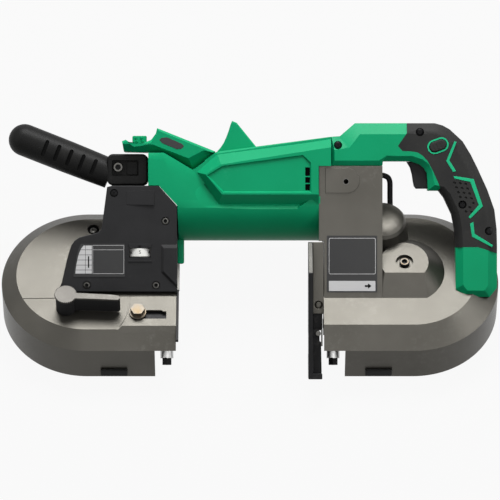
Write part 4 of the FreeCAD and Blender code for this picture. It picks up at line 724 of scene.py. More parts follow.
# Rear handle: an arched form with a bevelled back, split into green shells and a soft grip
handleSpec = {
    "outline": [(331.4, 136.5), (340, 136), (355, 123), (435, 123), (443, 125.2), (450, 129), (463, 141),
                (471, 154), (477.5, 167), (488, 190), (495, 210), (497.2, 229), (497.6, 247),
                (497.4, 288), (490, 297), (463, 297), (456, 289), (456, 247.5), (455, 229), (452, 214),
                (444, 197), (439, 190.5), (428, 190.5), (427.6, 181), (427, 173), (424, 168),
                (420, 164.5), (410, 161), (396, 161), (383, 161), (382.5, 165.6), (331.4, 165.6)],
    "face": [(334.5, 150), (349.5, 147.6), (360, 134.2), (431, 134.2), (437.5, 135.6), (443.5, 139),
             (454, 149.4), (461.6, 161), (467.6, 173), (478, 195), (484.6, 213.5), (487.4, 231),
             (488, 247), (488, 285.4), (485, 290.6), (467.6, 290.6), (463.2, 285), (463.2, 247.5),
             (462, 228), (459, 212), (450.4, 194), (444, 186.6), (435, 185), (433.4, 179), (432, 170.4),
             (428.6, 164), (422.6, 159.4), (412, 156), (396, 156), (387, 155.6), (379, 160.6),
             (334.5, 160.6)],
    "shoulder": [-8] * 4 + [-9, -10] + [-11] * 7 + [-9, -6, -6, -6, -9, -9, -9, -8, -7]
                + [-5] * 7 + [-4, -3, -3],
    "roundShares": ((0.3, 0.42), (0.62, 0.78)), "edge": 0.6, "edgeAngle": 24,
    "front": 0.0, "middle": -20.0, "back": -40.0, "seam": 0.03,
    "grip": [(407, 110), (407, 133), (398, 146), (402.5, 151), (412, 151.4), (418, 152.6), (423, 155.8),
             (427.6, 161), (433.5, 172), (440.5, 188), (436, 192), (430, 215), (430, 247.5), (478, 247.2),
             (510, 257), (510, 110)],
    "slot": ((404, 189.4), (437, 151)), "slotLevels": (-27.6, -12.4),
    "gripLevels": (-45.0, 10.0), "wellRadius": 4.6, "wellDeep": 3.4, "wellLength": 9.0,
    "button": (438, 145.7), "buttonSize": (19.0, 11.0), "buttonTurn": 20.0, "buttonPlay": 0.8,
    "buttonLevels": (-14.0, 8.0), "ringGrow": (1.2, 4.6), "accentLevels": (-0.8, 0.5), "accentEdge": 0.4,
    "pitRows": 7, "pitsInRow": 3, "pitStart": (454.6, 182.6), "pitStep": (5.6, 0.6), "pitRow": (1.9, 4.8),
    "pitSize": (3.4, 2.0, 4.0), "pitLevel": -1.6, "pitTurn": -24.0, "pitEdge": (475.0, -0.2),
    "pitClear": 7.616,
    "screws": [(338, 145, -3.2), (420, 132, -1.6), (462.5, 204.6, 0.0), (489, 231, -0.9)],
    "accents": [[(454.4, 141.4), (456.8, 142), (449.4, 160.4), (456.2, 171.4), (453, 171.9), (446.2, 161)],
                [(453.6, 176), (473.6, 179), (482.9, 206.3), (470.2, 218.8), (468.5, 217), (478.7, 205),
                 (470.2, 182), (454.4, 178.6)],
                [(470, 223.6), (473.4, 222), (474.6, 233.8), (493, 245.2), (491.8, 247.2), (471.8, 236.6)]],
}


def oblongOf(length, width, height, sides=12):  # a round-ended bar at the origin, in mm
    reach = (length - width) / 2
    points = []
    for side, start in ((1, -90), (-1, 90)):
        for n in range(sides + 1):
            turn = math.radians(start + 180 * n / sides)
            x, y = side * reach + width / 2 * math.cos(turn), width / 2 * math.sin(turn)
            points.append(Vector((x, y, 0)) * mm)
    return slabOf(points, height)


def handleHalf(spec, front):
    outline, face, shoulder = spec["outline"], spec["face"], spec["shoulder"]
    if front:
        start = spec["middle"] + spec["seam"]
        rings = [levelled(outline, start), levelled(outline, shoulder)]
        for share, lift in spec["roundShares"]:
            mids = [(ox + (fx - ox) * share, oy + (fy - oy) * share)
                    for (ox, oy), (fx, fy) in zip(outline, face)]
            rings.append(levelled(mids, [level * (1 - lift) for level in shoulder]))
        rings.append(levelled(face, spec["front"]))
    else:
        start = spec["middle"] - spec["seam"]
        depth = spec["back"]
        rings = [levelled(outline, start), levelled(outline, [depth - level for level in shoulder]),
                 levelled(face, depth)]
    return loftOf(rings)


def handleFacet(spec):  # the green front keeps one flat bevel
    return loftOf([levelled(spec["outline"], spec["middle"] + spec["seam"]),
                   levelled(spec["outline"], spec["shoulder"]), levelled(spec["face"], spec["front"])])


def gripTool(spec):
    low, high = spec["gripLevels"]
    return slabOf(levelled(spec["grip"], low), high - low)


def rearStock(spec):  # the rear half with its trigger slot
    return cutMesh(handleHalf(spec, False), photoBox(spec["slot"], *spec["slotLevels"]))


def trimHandle(bm, spec):  # trigger slot, lock button hole and screw wells
    bm = cutMesh(bm, photoBox(spec["slot"], *spec["slotLevels"]))
    length, width = (size + spec["buttonPlay"] for size in spec["buttonSize"])
    low, high = spec["buttonLevels"]
    hole = oblongOf(length, width, high - low)
    hole.transform(atPhoto(*spec["button"], low, spec["buttonTurn"]))
    bm = cutMesh(bm, hole)
    for px, py, level in spec["screws"]:
        well = rodOf(spec["wellRadius"], spec["wellLength"], (0, 0, 0), "Z", 28)
        well.transform(atPhoto(px, py, level - spec["wellDeep"]))
        bm = cutMesh(bm, well)
    return bm


def gripPits(spec):  # short pits in slanting rows, clear of the middle screw and the outer edge
    pits = bmesh.new()
    (startX, startY), (stepX, stepY), (rowX, rowY) = spec["pitStart"], spec["pitStep"], spec["pitRow"]
    screwX, screwY = spec["screws"][2][:2]
    edge, edgeStep = spec["pitEdge"]
    for row in range(spec["pitRows"]):
        for step in range(spec["pitsInRow"]):
            px, py = startX + stepX * step + rowX * row, startY + rowY * row + stepY * step
            if math.hypot(px - screwX, py - screwY) < spec["pitClear"] or px > edge + edgeStep * row:
                continue
            pit = oblongOf(*spec["pitSize"], 4)
            pit.transform(atPhoto(px, py, spec["pitLevel"], spec["pitTurn"]))
            joinInto(pits, pit)
    return pits


def makeAccents(spec):  # the trim strips, and the ring round the lock button
    low, high = spec["accentLevels"]
    trim = bmesh.new()
    for strip in spec["accents"]:
        piece = slabOf(levelled(strip, low), high - low)
        soften(piece, edgesAt(piece, high), spec["accentEdge"], 2)
        joinInto(trim, piece)
    length, width = spec["buttonSize"]
    inner, outer = spec["ringGrow"]
    hole = oblongOf(length + inner, width + inner, high - low + 2 * overrun)
    hole.transform(Matrix.Translation((0, 0, -overrun * mm)))
    ring = cutMesh(oblongOf(length + outer, width + outer, high - low), hole)
    ring.transform(atPhoto(*spec["button"], low, spec["buttonTurn"]))
    joinInto(trim, ring)
    finishPiece(trim, "handleAccents", "frame", finishes["greenTrim"])


def makeHandle(spec):
    green = cutMesh(trimHandle(handleFacet(spec), spec), gripTool(spec))
    finishPiece(crisp(green, spec["edge"], spec["edgeAngle"]), "handleShell", "frame", finishes["greenShell"],
                ["handle_front_shell"])
    grip = cutMesh(trimHandle(handleHalf(spec, True), spec), gripTool(spec), "INTERSECT")
    joinInto(grip, cutMesh(rearStock(spec), gripTool(spec), "INTERSECT"))
    grip = cutMesh(grip, gripPits(spec))
    finishPiece(grip, "gripCover", "frame", finishes["softGrip"], ["grip_cover"], smooth=30)
    rear = cutMesh(rearStock(spec), gripTool(spec))
    finishPiece(crisp(rear, spec["edge"], spec["edgeAngle"]), "handleRear", "frame", finishes["greenShell"],
                ["handle_rear_shell"])
    makeAccents(spec)


makeHandle(handleSpec)
print("rear handle made")


# Lock button, with a domed top and three finger ribs
buttonSpec = {"deep": 9.0, "proud": 1.5, "edge": 1.6, "ribShifts": (-4.0, 0.0, 4.0),
              "ribSize": (6.0, 1.3, 1.0), "ribSunk": 0.6}


def makeButton(spec, handle):
    high = spec["deep"] + spec["proud"]
    button = oblongOf(*handle["buttonSize"], high)
    soften(button, edgesAt(button, high), spec["edge"], 4)
    for shift in spec["ribShifts"]:
        rib = oblongOf(*spec["ribSize"], 6)
        rib.transform(Matrix.Translation(Vector((shift, 0, high - spec["ribSunk"])) * mm)
                      @ Matrix.Rotation(math.radians(90), 4, "Z"))
        joinInto(button, rib)
    button.transform(atPhoto(*handle["button"], -spec["deep"], handle["buttonTurn"]))
    finishPiece(button, "lockButton", "lock_button", finishes["softGrip"], ["lock_button"])


makeButton(buttonSpec, handleSpec)


# Trigger: a hollow-fronted finger lever on its stem
triggerSpec = {"outline": [(407, 161.5), (411, 161.5), (411, 152.5), (424, 152.5), (424, 161),
                           (426.6, 168), (428, 175), (428.8, 188.5), (416.5, 188.5), (414.4, 186),
                           (413.4, 181), (412.4, 174), (410.4, 167)],
               "levels": (-27.0, -13.0), "edge": 1.8}


def makeTrigger(spec):
    low, high = spec["levels"]
    trigger = slabOf(levelled(spec["outline"], low), high - low)
    soften(trigger, edgesAt(trigger, low) + edgesAt(trigger, high), spec["edge"], 3)
    finishPiece(trigger, "fingerTrigger", "trigger", finishes["blackPlastic"], ["trigger"])


makeTrigger(triggerSpec)
print("button and trigger made")


# Lamp lead: out of the gear block, over one bend and down into the dome
leadSpec = {"route": [(139.76, 134.4, -50), (146.0, 134.4, -50), (153.4, 130.6, -50), (153.4, 117, -50),
                      (153.4, 106, -50), (153.8, 92.4, -50)], "radius": 3.0, "length": 0.053}


def makeLead(spec):
    curve = bpy.data.curves.new("lampLead", "CURVE")
    curve.dimensions = "3D"
    line = curve.splines.new("NURBS")
    line.points.add(len(spec["route"]) - 1)
    for point, spot in zip(line.points, spec["route"]):
        point.co = (*(lean @ (Vector(spot) * mm)), 1)
    line.order_u = 3
    line.use_endpoint_u = True
    line.resolution_u = 16
    curve.bevel_depth = spec["radius"] * mm
    curve.bevel_resolution = 6
    curve.materials.append(finishes["blackPlastic"])
    lead = bpy.data.objects.new("lampLead", curve)
    bpy.context.scene.collection.objects.link(lead)
    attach(lead, "frame")
    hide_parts("lamp_lead")


makeLead(leadSpec)
print("lamp lead laid")


# Gear housing: the casting with broken edges, and the cap screw in its boss
gearSpec = {"breakWidth": 1.5, "segments": 3, "angle": 24, "tabHole": (346, 181.6),
            "rim": (2.75, 3.5, 1.1, 1.75), "screw": (168.0, 4.0), "screwFloor": 73.0,
            "head": (5.5, 4.4, 2.9), "faceRing": (3.3, 4.6, 4.1, 4.48)}


def capScrew(radius, height, socket, deep=2.6, edge=0.6):  # a socket head on the origin, in mm
    head = rodOf(radius, height, (0, 0, 0), "Z", 40)
    head = cutMesh(head, rodOf(socket, deep + overrun, (0, 0, height - deep), "Z", 6))
    rim = [line for line in sharpEdges(head, 40) if line.verts[0].co.z > height * 0.9 * mm
           and all(vert.co.xy.length > socket * 1.2 * mm for vert in line.verts)]
    return soften(head, rim, edge, 3)


def ringOf(inner, outer, low, high, sides=40):  # a flat washer about Z, in mm
    return spunOf([(inner, low), (outer, low), (outer, high), (inner, high), (inner, low)], sides=sides)


def makeGearHousing(spec):
    for node in ("gear_housing", "bearing_cover"):
        dressNode(node, finishes["castMetal"], "die_cast", spec["breakWidth"], spec["segments"], spec["angle"])
    rim = ringOf(*spec["rim"])
    rim.transform(atPhoto(*spec["tabHole"], 0))
    finishPiece(rim, "tabHoleRim", "frame", finishes["wornSteel"])
    seat = flat @ Matrix.Translation(Vector((*spec["screw"], spec["screwFloor"])) * mm)
    finishPiece(capScrew(*spec["head"]), "shaftScrew", "frame", finishes["blackSteel"],
                ["shaft_screw"], seat)
    finishPiece(ringOf(*spec["faceRing"]), "shaftScrewFace", "frame", finishes["zincSteel"], (), seat)


makeGearHousing(gearSpec)
print("gear housing made")


def roundedOutline(left, top, right, low, radius, steps=5):  # a round-cornered rectangle in photograph places
    points = []
    for cx, cy, start in ((right - radius, top + radius, -90), (right - radius, low - radius, 0),
                          (left + radius, low - radius, 90), (left + radius, top + radius, 180)):
        for n in range(steps + 1):
            turn = math.radians(start + 90 * n / steps)
            points.append((cx + radius * math.cos(turn), cy + radius * math.sin(turn)))
    return points


def lineFrame(outer, width, radius, low, high):  # a thin round-cornered border
    left, top, right, bottom = outer
    stock = slabOf(levelled(roundedOutline(left, top, right, bottom, radius), low), high - low)
    hole = roundedOutline(left + width, top + width, right - width, bottom - width, max(radius - width, 0.2))
    return cutMesh(stock, slabOf(levelled(hole, low - overrun), high - low + 2 * overrun))


# Label on the gear block: a bare bordered field over a pale strip with one arrow
gearLabelSpec = {"film": (326.8, 235.6, 377.2, 292.4), "filmCorner": 1.0, "thick": 0.45,
                 "border": (328.9, 238.0, 375.6, 274.2), "borderWidth": 0.45, "borderCorner": 1.6,
                 "strip": (328.9, 280.9, 375.4, 291.0), "stripCorner": 0.5, "ink": 0.1, "inkSunk": 0.1,
                 "arrow": [(364.8, 285.1), (368.0, 285.1), (368.0, 283.4), (371.6, 286.0), (368.0, 288.6),
                           (368.0, 286.9), (364.8, 286.9)]}


def makeGearLabel(spec):
    top = spec["thick"]
    low, high = top - spec["inkSunk"], top + spec["ink"]
    film = slabOf(levelled(roundedOutline(*spec["film"], spec["filmCorner"]), 0.0), top)
    finishPiece(film, "gearLabel", "frame", finishes["labelFilm"], ["label_plates"])
    pale = lineFrame(spec["border"], spec["borderWidth"], spec["borderCorner"], low, high)
    strip = slabOf(levelled(roundedOutline(*spec["strip"], spec["stripCorner"]), low), high - low)
    finishPiece(joinInto(pale, strip), "gearLabelPrint", "frame", finishes["labelPale"])
    arrow = slabOf(levelled(spec["arrow"], top), spec["ink"] * 2)
    finishPiece(arrow, "gearLabelArrow", "frame", finishes["paintedShadeAndInk"])


makeGearLabel(gearLabelSpec)
print("gear label made")


# Control panel: a hollow cover with a raised pad, a dial window and a side wedge
panelSpec = {
    "outline": [(107, 187), (112, 185.6), (158.2, 185.6), (176.8, 206.2), (177.2, 292), (55.8, 292),
                (55.8, 289.7), (60, 286.6), (61.8, 282.4), (64.3, 271), (66.7, 260.6), (69, 252),
                (71.5, 244.8), (74.6, 240.8), (78.8, 237.6), (84, 236), (92, 234.2), (98, 232.4),
                (101, 230), (101.9, 226)],
    "room": [(113, 191), (156, 191), (173.6, 209), (173.8, 288.6), (66, 288.6), (70, 270), (76, 247),
             (88, 240), (104, 237), (107, 230)],
    "depth": 60.0, "wall": 3.0, "edge": 1.2, "below": ((-0.4, -0.4, -0.2), (0.1, 0.4, 0.06)),
    "wells": [(165.4, 221), (86.7, 285.2), (156, 285.2), (114, 193)], "wellRadius": 4.5, "wellDeep": 2.4,
    "wellLength": 4.0, "window": ((129.2, 257.4), (150.6, 247.4)), "windowLevels": (-5.0, 3.0),
    "posts": [(116, 205), (164, 208)], "postRadius": 3.0, "postOver": 0.4, "boardLevel": -29.0, "sunk": 0.6,
    "pad": [(126.2, 204.6), (126.2, 191.0), (154, 190.2), (154, 205.2)], "padLevels": [0.2, 0.3, 1.6, 2.2],
    "padEdge": 0.35,
    "wedge": [(160.2, 243.6), (177.2, 243.6), (177.2, 289), (160.2, 272.4)],
    "wedgeFace": [(163.6, 248.2), (177.2, 248.2), (177.2, 285.4), (163.6, 271.4)], "wedgeLevel": 2.0,
    "wedgeEdge": 0.4,
    "sill": [(128.2, 243.8), (152, 243.8), (151.2, 248.0), (129, 248.0)], "sillLevel": 0.9,
    "lip": [(128.2, 260.6), (152, 260.6), (152, 262.0), (128.2, 262.0)], "lipLevel": 0.8, "stripEdge": 0.45,
    "pointer": [(138.0, 245.5), (141.4, 245.5), (139.7, 248.0)], "pointerLevel": 0.8, "pointerThick": 0.22,
}


def makePanel(spec):
    depth, wall, sunk = spec["depth"], spec["wall"], -spec["sunk"]
    cover = slabOf(levelled(spec["outline"], -depth), depth)
    soften(cover, edgesAt(cover, 0), spec["edge"], 3)
    cover = cutMesh(cover, slabOf(levelled(spec["room"], -depth - overrun), depth + overrun - wall))
    below = boxOf(*spec["below"])  # the room of the casing, in metres from the bench
    below.transform(lean.inverted())
    cover = cutMesh(cover, below)
    cover = cutMesh(cover, photoBox(spec["window"], *spec["windowLevels"]))
    for px, py in spec["wells"]:
        well = rodOf(spec["wellRadius"], spec["wellLength"], (0, 0, 0), "Z", 28)
        well.transform(atPhoto(px, py, -spec["wellDeep"]))
        cover = cutMesh(cover, well)
    for px, py in spec["posts"]:
        post = rodOf(spec["postRadius"], -spec["boardLevel"] - wall + spec["postOver"], (0, 0, 0), "Z", 20)
        post.transform(atPhoto(px, py, spec["boardLevel"]))
        joinInto(cover, post)
    pad = loftOf([levelled(spec["pad"], sunk), levelled(spec["pad"], spec["padLevels"])])
    joinInto(cover, soften(pad, sharpEdges(pad, 30), spec["padEdge"], 2))
    wedge = loftOf([levelled(spec["wedge"], sunk), levelled(spec["wedgeFace"], spec["wedgeLevel"])])
    joinInto(cover, soften(wedge, sharpEdges(wedge, 20), spec["wedgeEdge"], 2))
    for strip in ("sill", "lip"):
        high = spec[strip + "Level"]
        bar = slabOf(levelled(spec[strip], sunk), high - sunk)
        joinInto(cover, soften(bar, edgesAt(bar, high), spec["stripEdge"], 2))
    finishPiece(cover, "controlPanel", "frame", finishes["blackPlastic"], ["control_panel"])
    pointer = slabOf(levelled(spec["pointer"], spec["pointerLevel"]), spec["pointerThick"])
    finishPiece(pointer, "dialPointer", "frame", finishes["paintedShadeAndInk"])


makePanel(panelSpec)
print("control panel made")


# Speed dial: a notched drum, numbered one to six, that shows five at rest
dialSpec = {"spot": (140, 252.5), "level": -11.8, "radius": 13.0, "width": 9.6, "bore": 2.3, "notches": 36,
            "rimDrop": 0.25, "chamfer": (1.2, 0.9), "tooth": ((-1.6, -0.32, 0.5), (-0.1, 0.32, 1.7)),
            "numbers": 6, "shown": 5, "step": 50.0, "size": 5.4, "raise": 0.06, "shift": 0.2, "sunk": 0.3}


def makeDial(spec):
    half, radius, bore = spec["width"] / 2, spec["radius"], spec["bore"]
    across, along = spec["chamfer"]
    rim = radius - spec["rimDrop"]
    drum = spunOf([(bore, -half), (radius - across, -half), (rim, -half + along), (rim, half - along),
                   (radius - across, half), (bore, half), (bore, -half)], sides=72)
    corner = Vector((radius, 0, -half))
    for n in range(spec["notches"]):
        tooth = boxOf(*((corner + Vector(shift)) * mm for shift in spec["tooth"]))
        tooth.transform(Matrix.Rotation(2 * math.pi * n / spec["notches"], 4, "Z"))
        joinInto(drum, tooth)
    axle = lean @ atPhoto(*spec["spot"], spec["level"])
    drum.transform(Matrix.Rotation(-math.pi / 2, 4, "X"))
    finishPiece(drum, "speedDial", "speed_dial", finishes["whitePlastic"],
                ["speed_dial"], axle)
    figures = bmesh.new()
    for number in range(1, spec["numbers"] + 1):
        text = bpy.data.curves.new("figure", "FONT")
        text.body = str(number)
        text.size = spec["size"] * mm
        text.align_x, text.align_y = "CENTER", "CENTER"
        text.extrude = spec["raise"] * mm
        holder = bpy.data.objects.new("figure", text)
        mesh = bpy.data.meshes.new_from_object(holder)
        bpy.data.objects.remove(holder)
        turned = (Matrix.Rotation(math.radians((spec["shown"] - number) * spec["step"]), 4, "Y")
                  @ Matrix.Translation(Vector((0, spec["shift"], radius - spec["sunk"])) * mm))
        mesh.transform(turned)
        figures.from_mesh(mesh)
        bpy.data.meshes.remove(mesh)
    finishPiece(figures, "dialNumbers", "speed_dial", finishes["paintedShadeAndInk"], (), axle)


makeDial(dialSpec)
print("speed dial made")


# Label on the panel: a pale six-row scale beside a bare bordered field
panelLabelSpec = {
    "film": [(81, 243.8), (124.8, 243.8), (124.8, 276.8), (73.4, 276.8), (74.4, 268), (76.4, 257),
             (78.4, 249.2)],
    "thick": 0.45, "ink": 0.1, "inkSunk": 0.1, "field": (92.6, 245.2, 124.0, 273.8), "corner": 0.6,
    "lineWidth": 0.35, "headerY": 249.6, "scaleRight": 91.8, "columnX": 85.4, "columnGap": 0.2, "rowGap": 0.25,
    "leftEdge": [(245.3, 83.6), (249.8, 80.6), (254.9, 78.6), (260.0, 77.4), (265.1, 76.4), (270.0, 75.7),
                 (273.8, 75.4)],
    "bar": (88.0, 256.2, 89.2, 267.8),
}


def makePanelLabel(spec):
    top = spec["thick"]
    low, high = top - spec["inkSunk"], top + spec["ink"]
    film = slabOf(levelled(spec["film"], 0.0), top)
    finishPiece(film, "panelLabel", "frame", finishes["labelFilm"], ["label_plates"])
    pale = lineFrame(spec["field"], spec["lineWidth"], spec["corner"], low, high)
    left, y, right = spec["field"][0], spec["headerY"], spec["field"][2]
    joinInto(pale, photoBox(((left, y + spec["lineWidth"]), (right, y)), low, high))
    middle, gap, rowGap = spec["columnX"], spec["columnGap"], spec["rowGap"]
    for (above, leftAbove), (under, leftUnder) in zip(spec["leftEdge"], spec["leftEdge"][1:]):
        for startAbove, startUnder, stop in ((leftAbove, leftUnder, middle - gap),
                                             (middle + gap, middle + gap, spec["scaleRight"])):
            corners = [(startAbove, above + rowGap), (stop, above + rowGap), (stop, under - rowGap),
                       (startUnder, under - rowGap)]
            joinInto(pale, slabOf(levelled(corners, low), high - low))
    finishPiece(pale, "panelLabelPrint", "frame", finishes["labelPale"])
    x0, y0, x1, y1 = spec["bar"]
    bar = photoBox(((x0, y1), (x1, y0)), top, top + 2 * spec["ink"])
    finishPiece(bar, "panelLabelBar", "frame", finishes["paintedShadeAndInk"])


makePanelLabel(panelLabelSpec)
print("panel label made")


# Housing screws: domed heads, the bare ones with a socket and the black ones with a cross recess; each socket
# holds a dark disc of painted shade
screwSpec = {
    "radius": 3.9, "rise": 1.5, "foot": 0.2, "domeShares": [(1.0, 0.45), (0.8, 0.85), (0.45, 1.0)],
    "cross": (4.4, 1.3, 1.2), "socket": (2.3, 1.3), "shadePlay": 0.1, "shadeThick": 0.3,
    "panelSunk": 2.2, "handleSunk": 3.2, "socketHeads": 3, "bracket": [(318.5, 305, -2.0)],
}


def screwHead(spec, socket=False):
    radius, rise = spec["radius"], spec["rise"]
    dome = [(radius * out, rise * up) for out, up in spec["domeShares"]]
    head = spunOf([(0, -spec["foot"]), (radius, -spec["foot"]), *dome, (0, rise)], sides=32)
    if socket:
        across, deep = spec["socket"]
        return cutMesh(head, rodOf(across, deep + overrun, (0, 0, rise - deep), "Z", 6))
    length, width, deep = spec["cross"]
    for turn in (45, 135):
        bar = boxOf(Vector((-length / 2, -width / 2, rise - deep)) * mm,
                    Vector((length / 2, width / 2, rise + overrun)) * mm)
        bar.transform(Matrix.Rotation(math.radians(turn), 4, "Z"))
        head = cutMesh(head, bar)
    return head


def screwPlaces(spec):  # the places and levels of each kind of head
    onPanel = [(px, py, -spec["panelSunk"]) for px, py in panelSpec["wells"]]
    onHandle = [(px, py, level - spec["handleSunk"]) for px, py, level in handleSpec["screws"]]
    count = spec["socketHeads"]
    return {"bright": onPanel[:count], "bracket": spec["bracket"], "dark": onPanel[count:] + onHandle}


def makeScrews(spec):
    across, deep = spec["socket"]
    places = screwPlaces(spec)
    shadeFloors = bmesh.new()
    for group, finish, slot in (("bright", "wornSteel", "steel"), ("bracket", "castMetal", "steel"),
                                ("dark", "blackSteel", "dark_steel")):
        heads = bmesh.new()
        for px, py, level in places[group]:
            head = screwHead(spec, group == "bright")
            head.transform(atPhoto(px, py, level))
            joinInto(heads, head)
            if group == "bright":
                # a dark disc in the socket, painted shade
                floor = rodOf(across - spec["shadePlay"], spec["shadeThick"],
                              (0, 0, spec["rise"] - deep + spec["shadePlay"]), "Z", 6)
                floor.transform(atPhoto(px, py, level))
                joinInto(shadeFloors, floor)
        finishPiece(heads, "housingScrews_" + group, "frame", finishes[finish], ["housing_screws"])
    finishPiece(shadeFloors, "screwSocketShade", "frame", finishes["paintedShadeAndInk"])


sunkLevel = casingSpec["face"] - casingSpec["sunkDeep"] + casingSpec["sunkLift"]
finishPiece(screwHead(screwSpec), "sunkScrew", "frame", finishes["wornSteel"], (),
            flat @ Matrix.Translation(onFace(*casingSpec["sunkScrew"], sunkLevel)))
makeScrews(screwSpec)
print("screws made")


# Front handle: a slotted grip that meets a bolted block
frontSpec = {
    "end": (23.2, 139.3), "foot": (109.2, 173.2), "level": -34.0, "radius": 17.5,
    "taperShares": [(1.0, 0.5), (0.97, 0.8), (0.94, 1.0)], "tipSteps": 12,
    "slots": 5, "slotFirst": 24.6, "slotStep": 14.2, "slotSize": (18.5, 4.2), "slotDeep": 4.4,
    "slotLength": 12.0, "shadePlay": 0.1, "shadeThick": 1.4, "shadeSunk": 0.4,
    "block": (106.5, 153.6, 147.6, 185.2), "corner": 6.0, "blockLevels": (-51.0, -17.0),
    "blockEdge": 2.4, "recess": (111.4, 159.8, 138.2, 175.6), "recessLevel": -25.0, "recessCorner": 1.4,
    "recessHigh": 20.0, "step": (126.4, 161.2, 136.8, 174.4), "stepRise": 2.4, "stepSunk": 0.5,
    "stepCorner": 0.6, "stepEdge": 0.5, "bolt": (117.5, 166.8), "boltHead": (5.2, 5.0, 2.7),
    "faceRing": (3.1, 4.7, 4.8, 5.1), "gripStop": ((109.6, 200), (170, 130)), "gripStopLevels": (-80.0, 10.0),
}


def gripPlace(spec):
    start, stop = (mark(*spec[end], spec["level"]) for end in ("end", "foot"))
    run = stop - start
    return Matrix.Translation(start) @ Matrix.Rotation(math.atan2(run.y, run.x), 4, "Z"), run.length / mm


def makeGrip(spec):  # the slotted grip, and dark bars in its slots as painted shade
    place, run = gripPlace(spec)
    radius, steps = spec["radius"], spec["tipSteps"]
    turns = [math.pi / 2 * n / steps for n in range(steps + 1)]
    tip = [(radius * math.sin(turn), -radius * math.cos(turn)) for turn in turns]
    taper = [(radius * out, run * along) for out, along in spec["taperShares"]]
    grip = spunOf(tip + taper + [(0, run)], sides=72)
    grip.transform(place @ Matrix.Rotation(math.pi / 2, 4, "Y"))
    shadeFloors = bmesh.new()
    for n in range(spec["slots"]):
        across = spec["slotFirst"] + n * spec["slotStep"]
        low = radius - spec["slotDeep"]
        slot = oblongOf(*spec["slotSize"], spec["slotLength"])
        # a dark bar at the slot's foot, painted shade
        floor = oblongOf(*(size - spec["shadePlay"] for size in spec["slotSize"]), spec["shadeThick"])
        for piece, level in ((slot, low), (floor, low - spec["shadeSunk"])):
            piece.transform(place @ Matrix.Translation(Vector((across, 0, level)) * mm)
                            @ Matrix.Rotation(math.pi / 2, 4, "Z"))
        grip = cutMesh(grip, slot)
        joinInto(shadeFloors, floor)
    return cutMesh(grip, photoBox(spec["gripStop"], *spec["gripStopLevels"])), shadeFloors


def makeBlock(spec):  # the block with its recess and the step in it
    low, high = spec["blockLevels"]
    block = slabOf(levelled(roundedOutline(*spec["block"], spec["corner"], 8), low), high - low)
    soften(block, edgesAt(block, high) + edgesAt(block, low), spec["blockEdge"], 4)
    recess = roundedOutline(*spec["recess"], spec["recessCorner"])
    block = cutMesh(block, slabOf(levelled(recess, spec["recessLevel"]), spec["recessHigh"]))
    foot = spec["recessLevel"] - spec["stepSunk"]
    step = slabOf(levelled(roundedOutline(*spec["step"], spec["stepCorner"]), foot), spec["stepRise"])
    return joinInto(block, soften(step, edgesAt(step, foot + spec["stepRise"]), spec["stepEdge"], 2))


def makeFrontHandle(spec):
    grip, shadeFloors = makeGrip(spec)
    finishPiece(joinInto(grip, makeBlock(spec)), "frontHandle", "frame", finishes["gripBlack"],
                ["front_handle"])
    finishPiece(shadeFloors, "gripSlotShade", "frame", finishes["paintedShadeAndInk"])
    seat = lean @ atPhoto(*spec["bolt"], spec["recessLevel"])
    finishPiece(capScrew(*spec["boltHead"]), "handleBolt", "frame", finishes["blackSteel"],
                ["front_handle_bolt"], seat)
    finishPiece(ringOf(*spec["faceRing"]), "handleBoltFace", "frame", finishes["wornSteel"], (), seat)


makeFrontHandle(frontSpec)
print("front handle made")


# Tension lever: a knurled hub and a deep arm, black below and bare metal on top
leverSpec = {"spot": (-199.0, -46.6), "hubRadius": 11.2, "levels": (61.0, 82.6), "armLow": 63.2, "knurls": 30,
             "arm": [(9.6, -5.8), (30, -6.4), (52, -7.6), (56.6, -7.8), (58.8, -6.2), (58.8, -3.4),
                     (56.6, -1.8), (50, -0.6), (28, 0.8), (11, 1.8)], "armClear": 1.0, "armEdge": 1.2,
             "hubPlay": 0.2, "hubOver": 0.4, "capThick": 2.4, "capKnurl": 1.0, "capEdge": 0.2,
             "pinRadius": 4.95, "pinLength": 6.0, "pinDeep": 5.6}


def leverOutline(spec, radius, knurl):  # the hub, with knurls of some height, and the arm in one line
    first, last = (math.atan2(y, x) for x, y in (spec["arm"][-1], spec["arm"][0]))
    steps = 2 * spec["knurls"]
    points = [point for point in spec["arm"] if math.hypot(*point) > radius + spec["armClear"]]
    for n in range(steps + 1):
        turn = first + (2 * math.pi + last - first) * n / steps
        out = radius + (knurl if n % 2 else 0.0)
        points.append((out * math.cos(turn), out * math.sin(turn)))
    return [Vector((x, y, 0)) * mm for x, y in points]


def makeLever(spec):
    low, high = spec["levels"]
    seat = flat @ Matrix.Translation(Vector((*spec["spot"], 0)) * mm)
    radius = spec["hubRadius"] - spec["hubPlay"]
    body = rodOf(radius, spec["armLow"] - low + spec["hubOver"], (0, 0, low), "Z", 48)
    outline = [point + Vector((0, 0, spec["armLow"] * mm)) for point in leverOutline(spec, radius, 0)]
    arm = slabOf(outline, high - spec["armLow"])
    soften(arm, edgesAt(arm, spec["armLow"]), spec["armEdge"], 3)
    joinInto(body, arm)
    joinInto(body, rodOf(spec["pinRadius"], spec["pinLength"], (0, 0, low - spec["pinDeep"]), "Z", 32))
    finishPiece(body, "leverBody", "lever", finishes["blackPlastic"], ["tension_lever"], seat)
    knurled = leverOutline(spec, spec["hubRadius"], spec["capKnurl"])
    cap = slabOf([point + Vector((0, 0, high * mm)) for point in knurled], spec["capThick"])
    soften(cap, edgesAt(cap, high + spec["capThick"]), spec["capEdge"], 1)
    finishPiece(cap, "leverCap", "lever", finishes["darkCast"], (), seat)


makeLever(leverSpec)
print("tension lever made")


# Guide bolt: a hex head with a turned face on a washer
guideBoltSpec = {"width": 0.8, "segments": 3, "angle": 24}
dressNode("guide_bolt", finishes["zincSteel"], "steel", **guideBoltSpec)
print("guide bolt made")


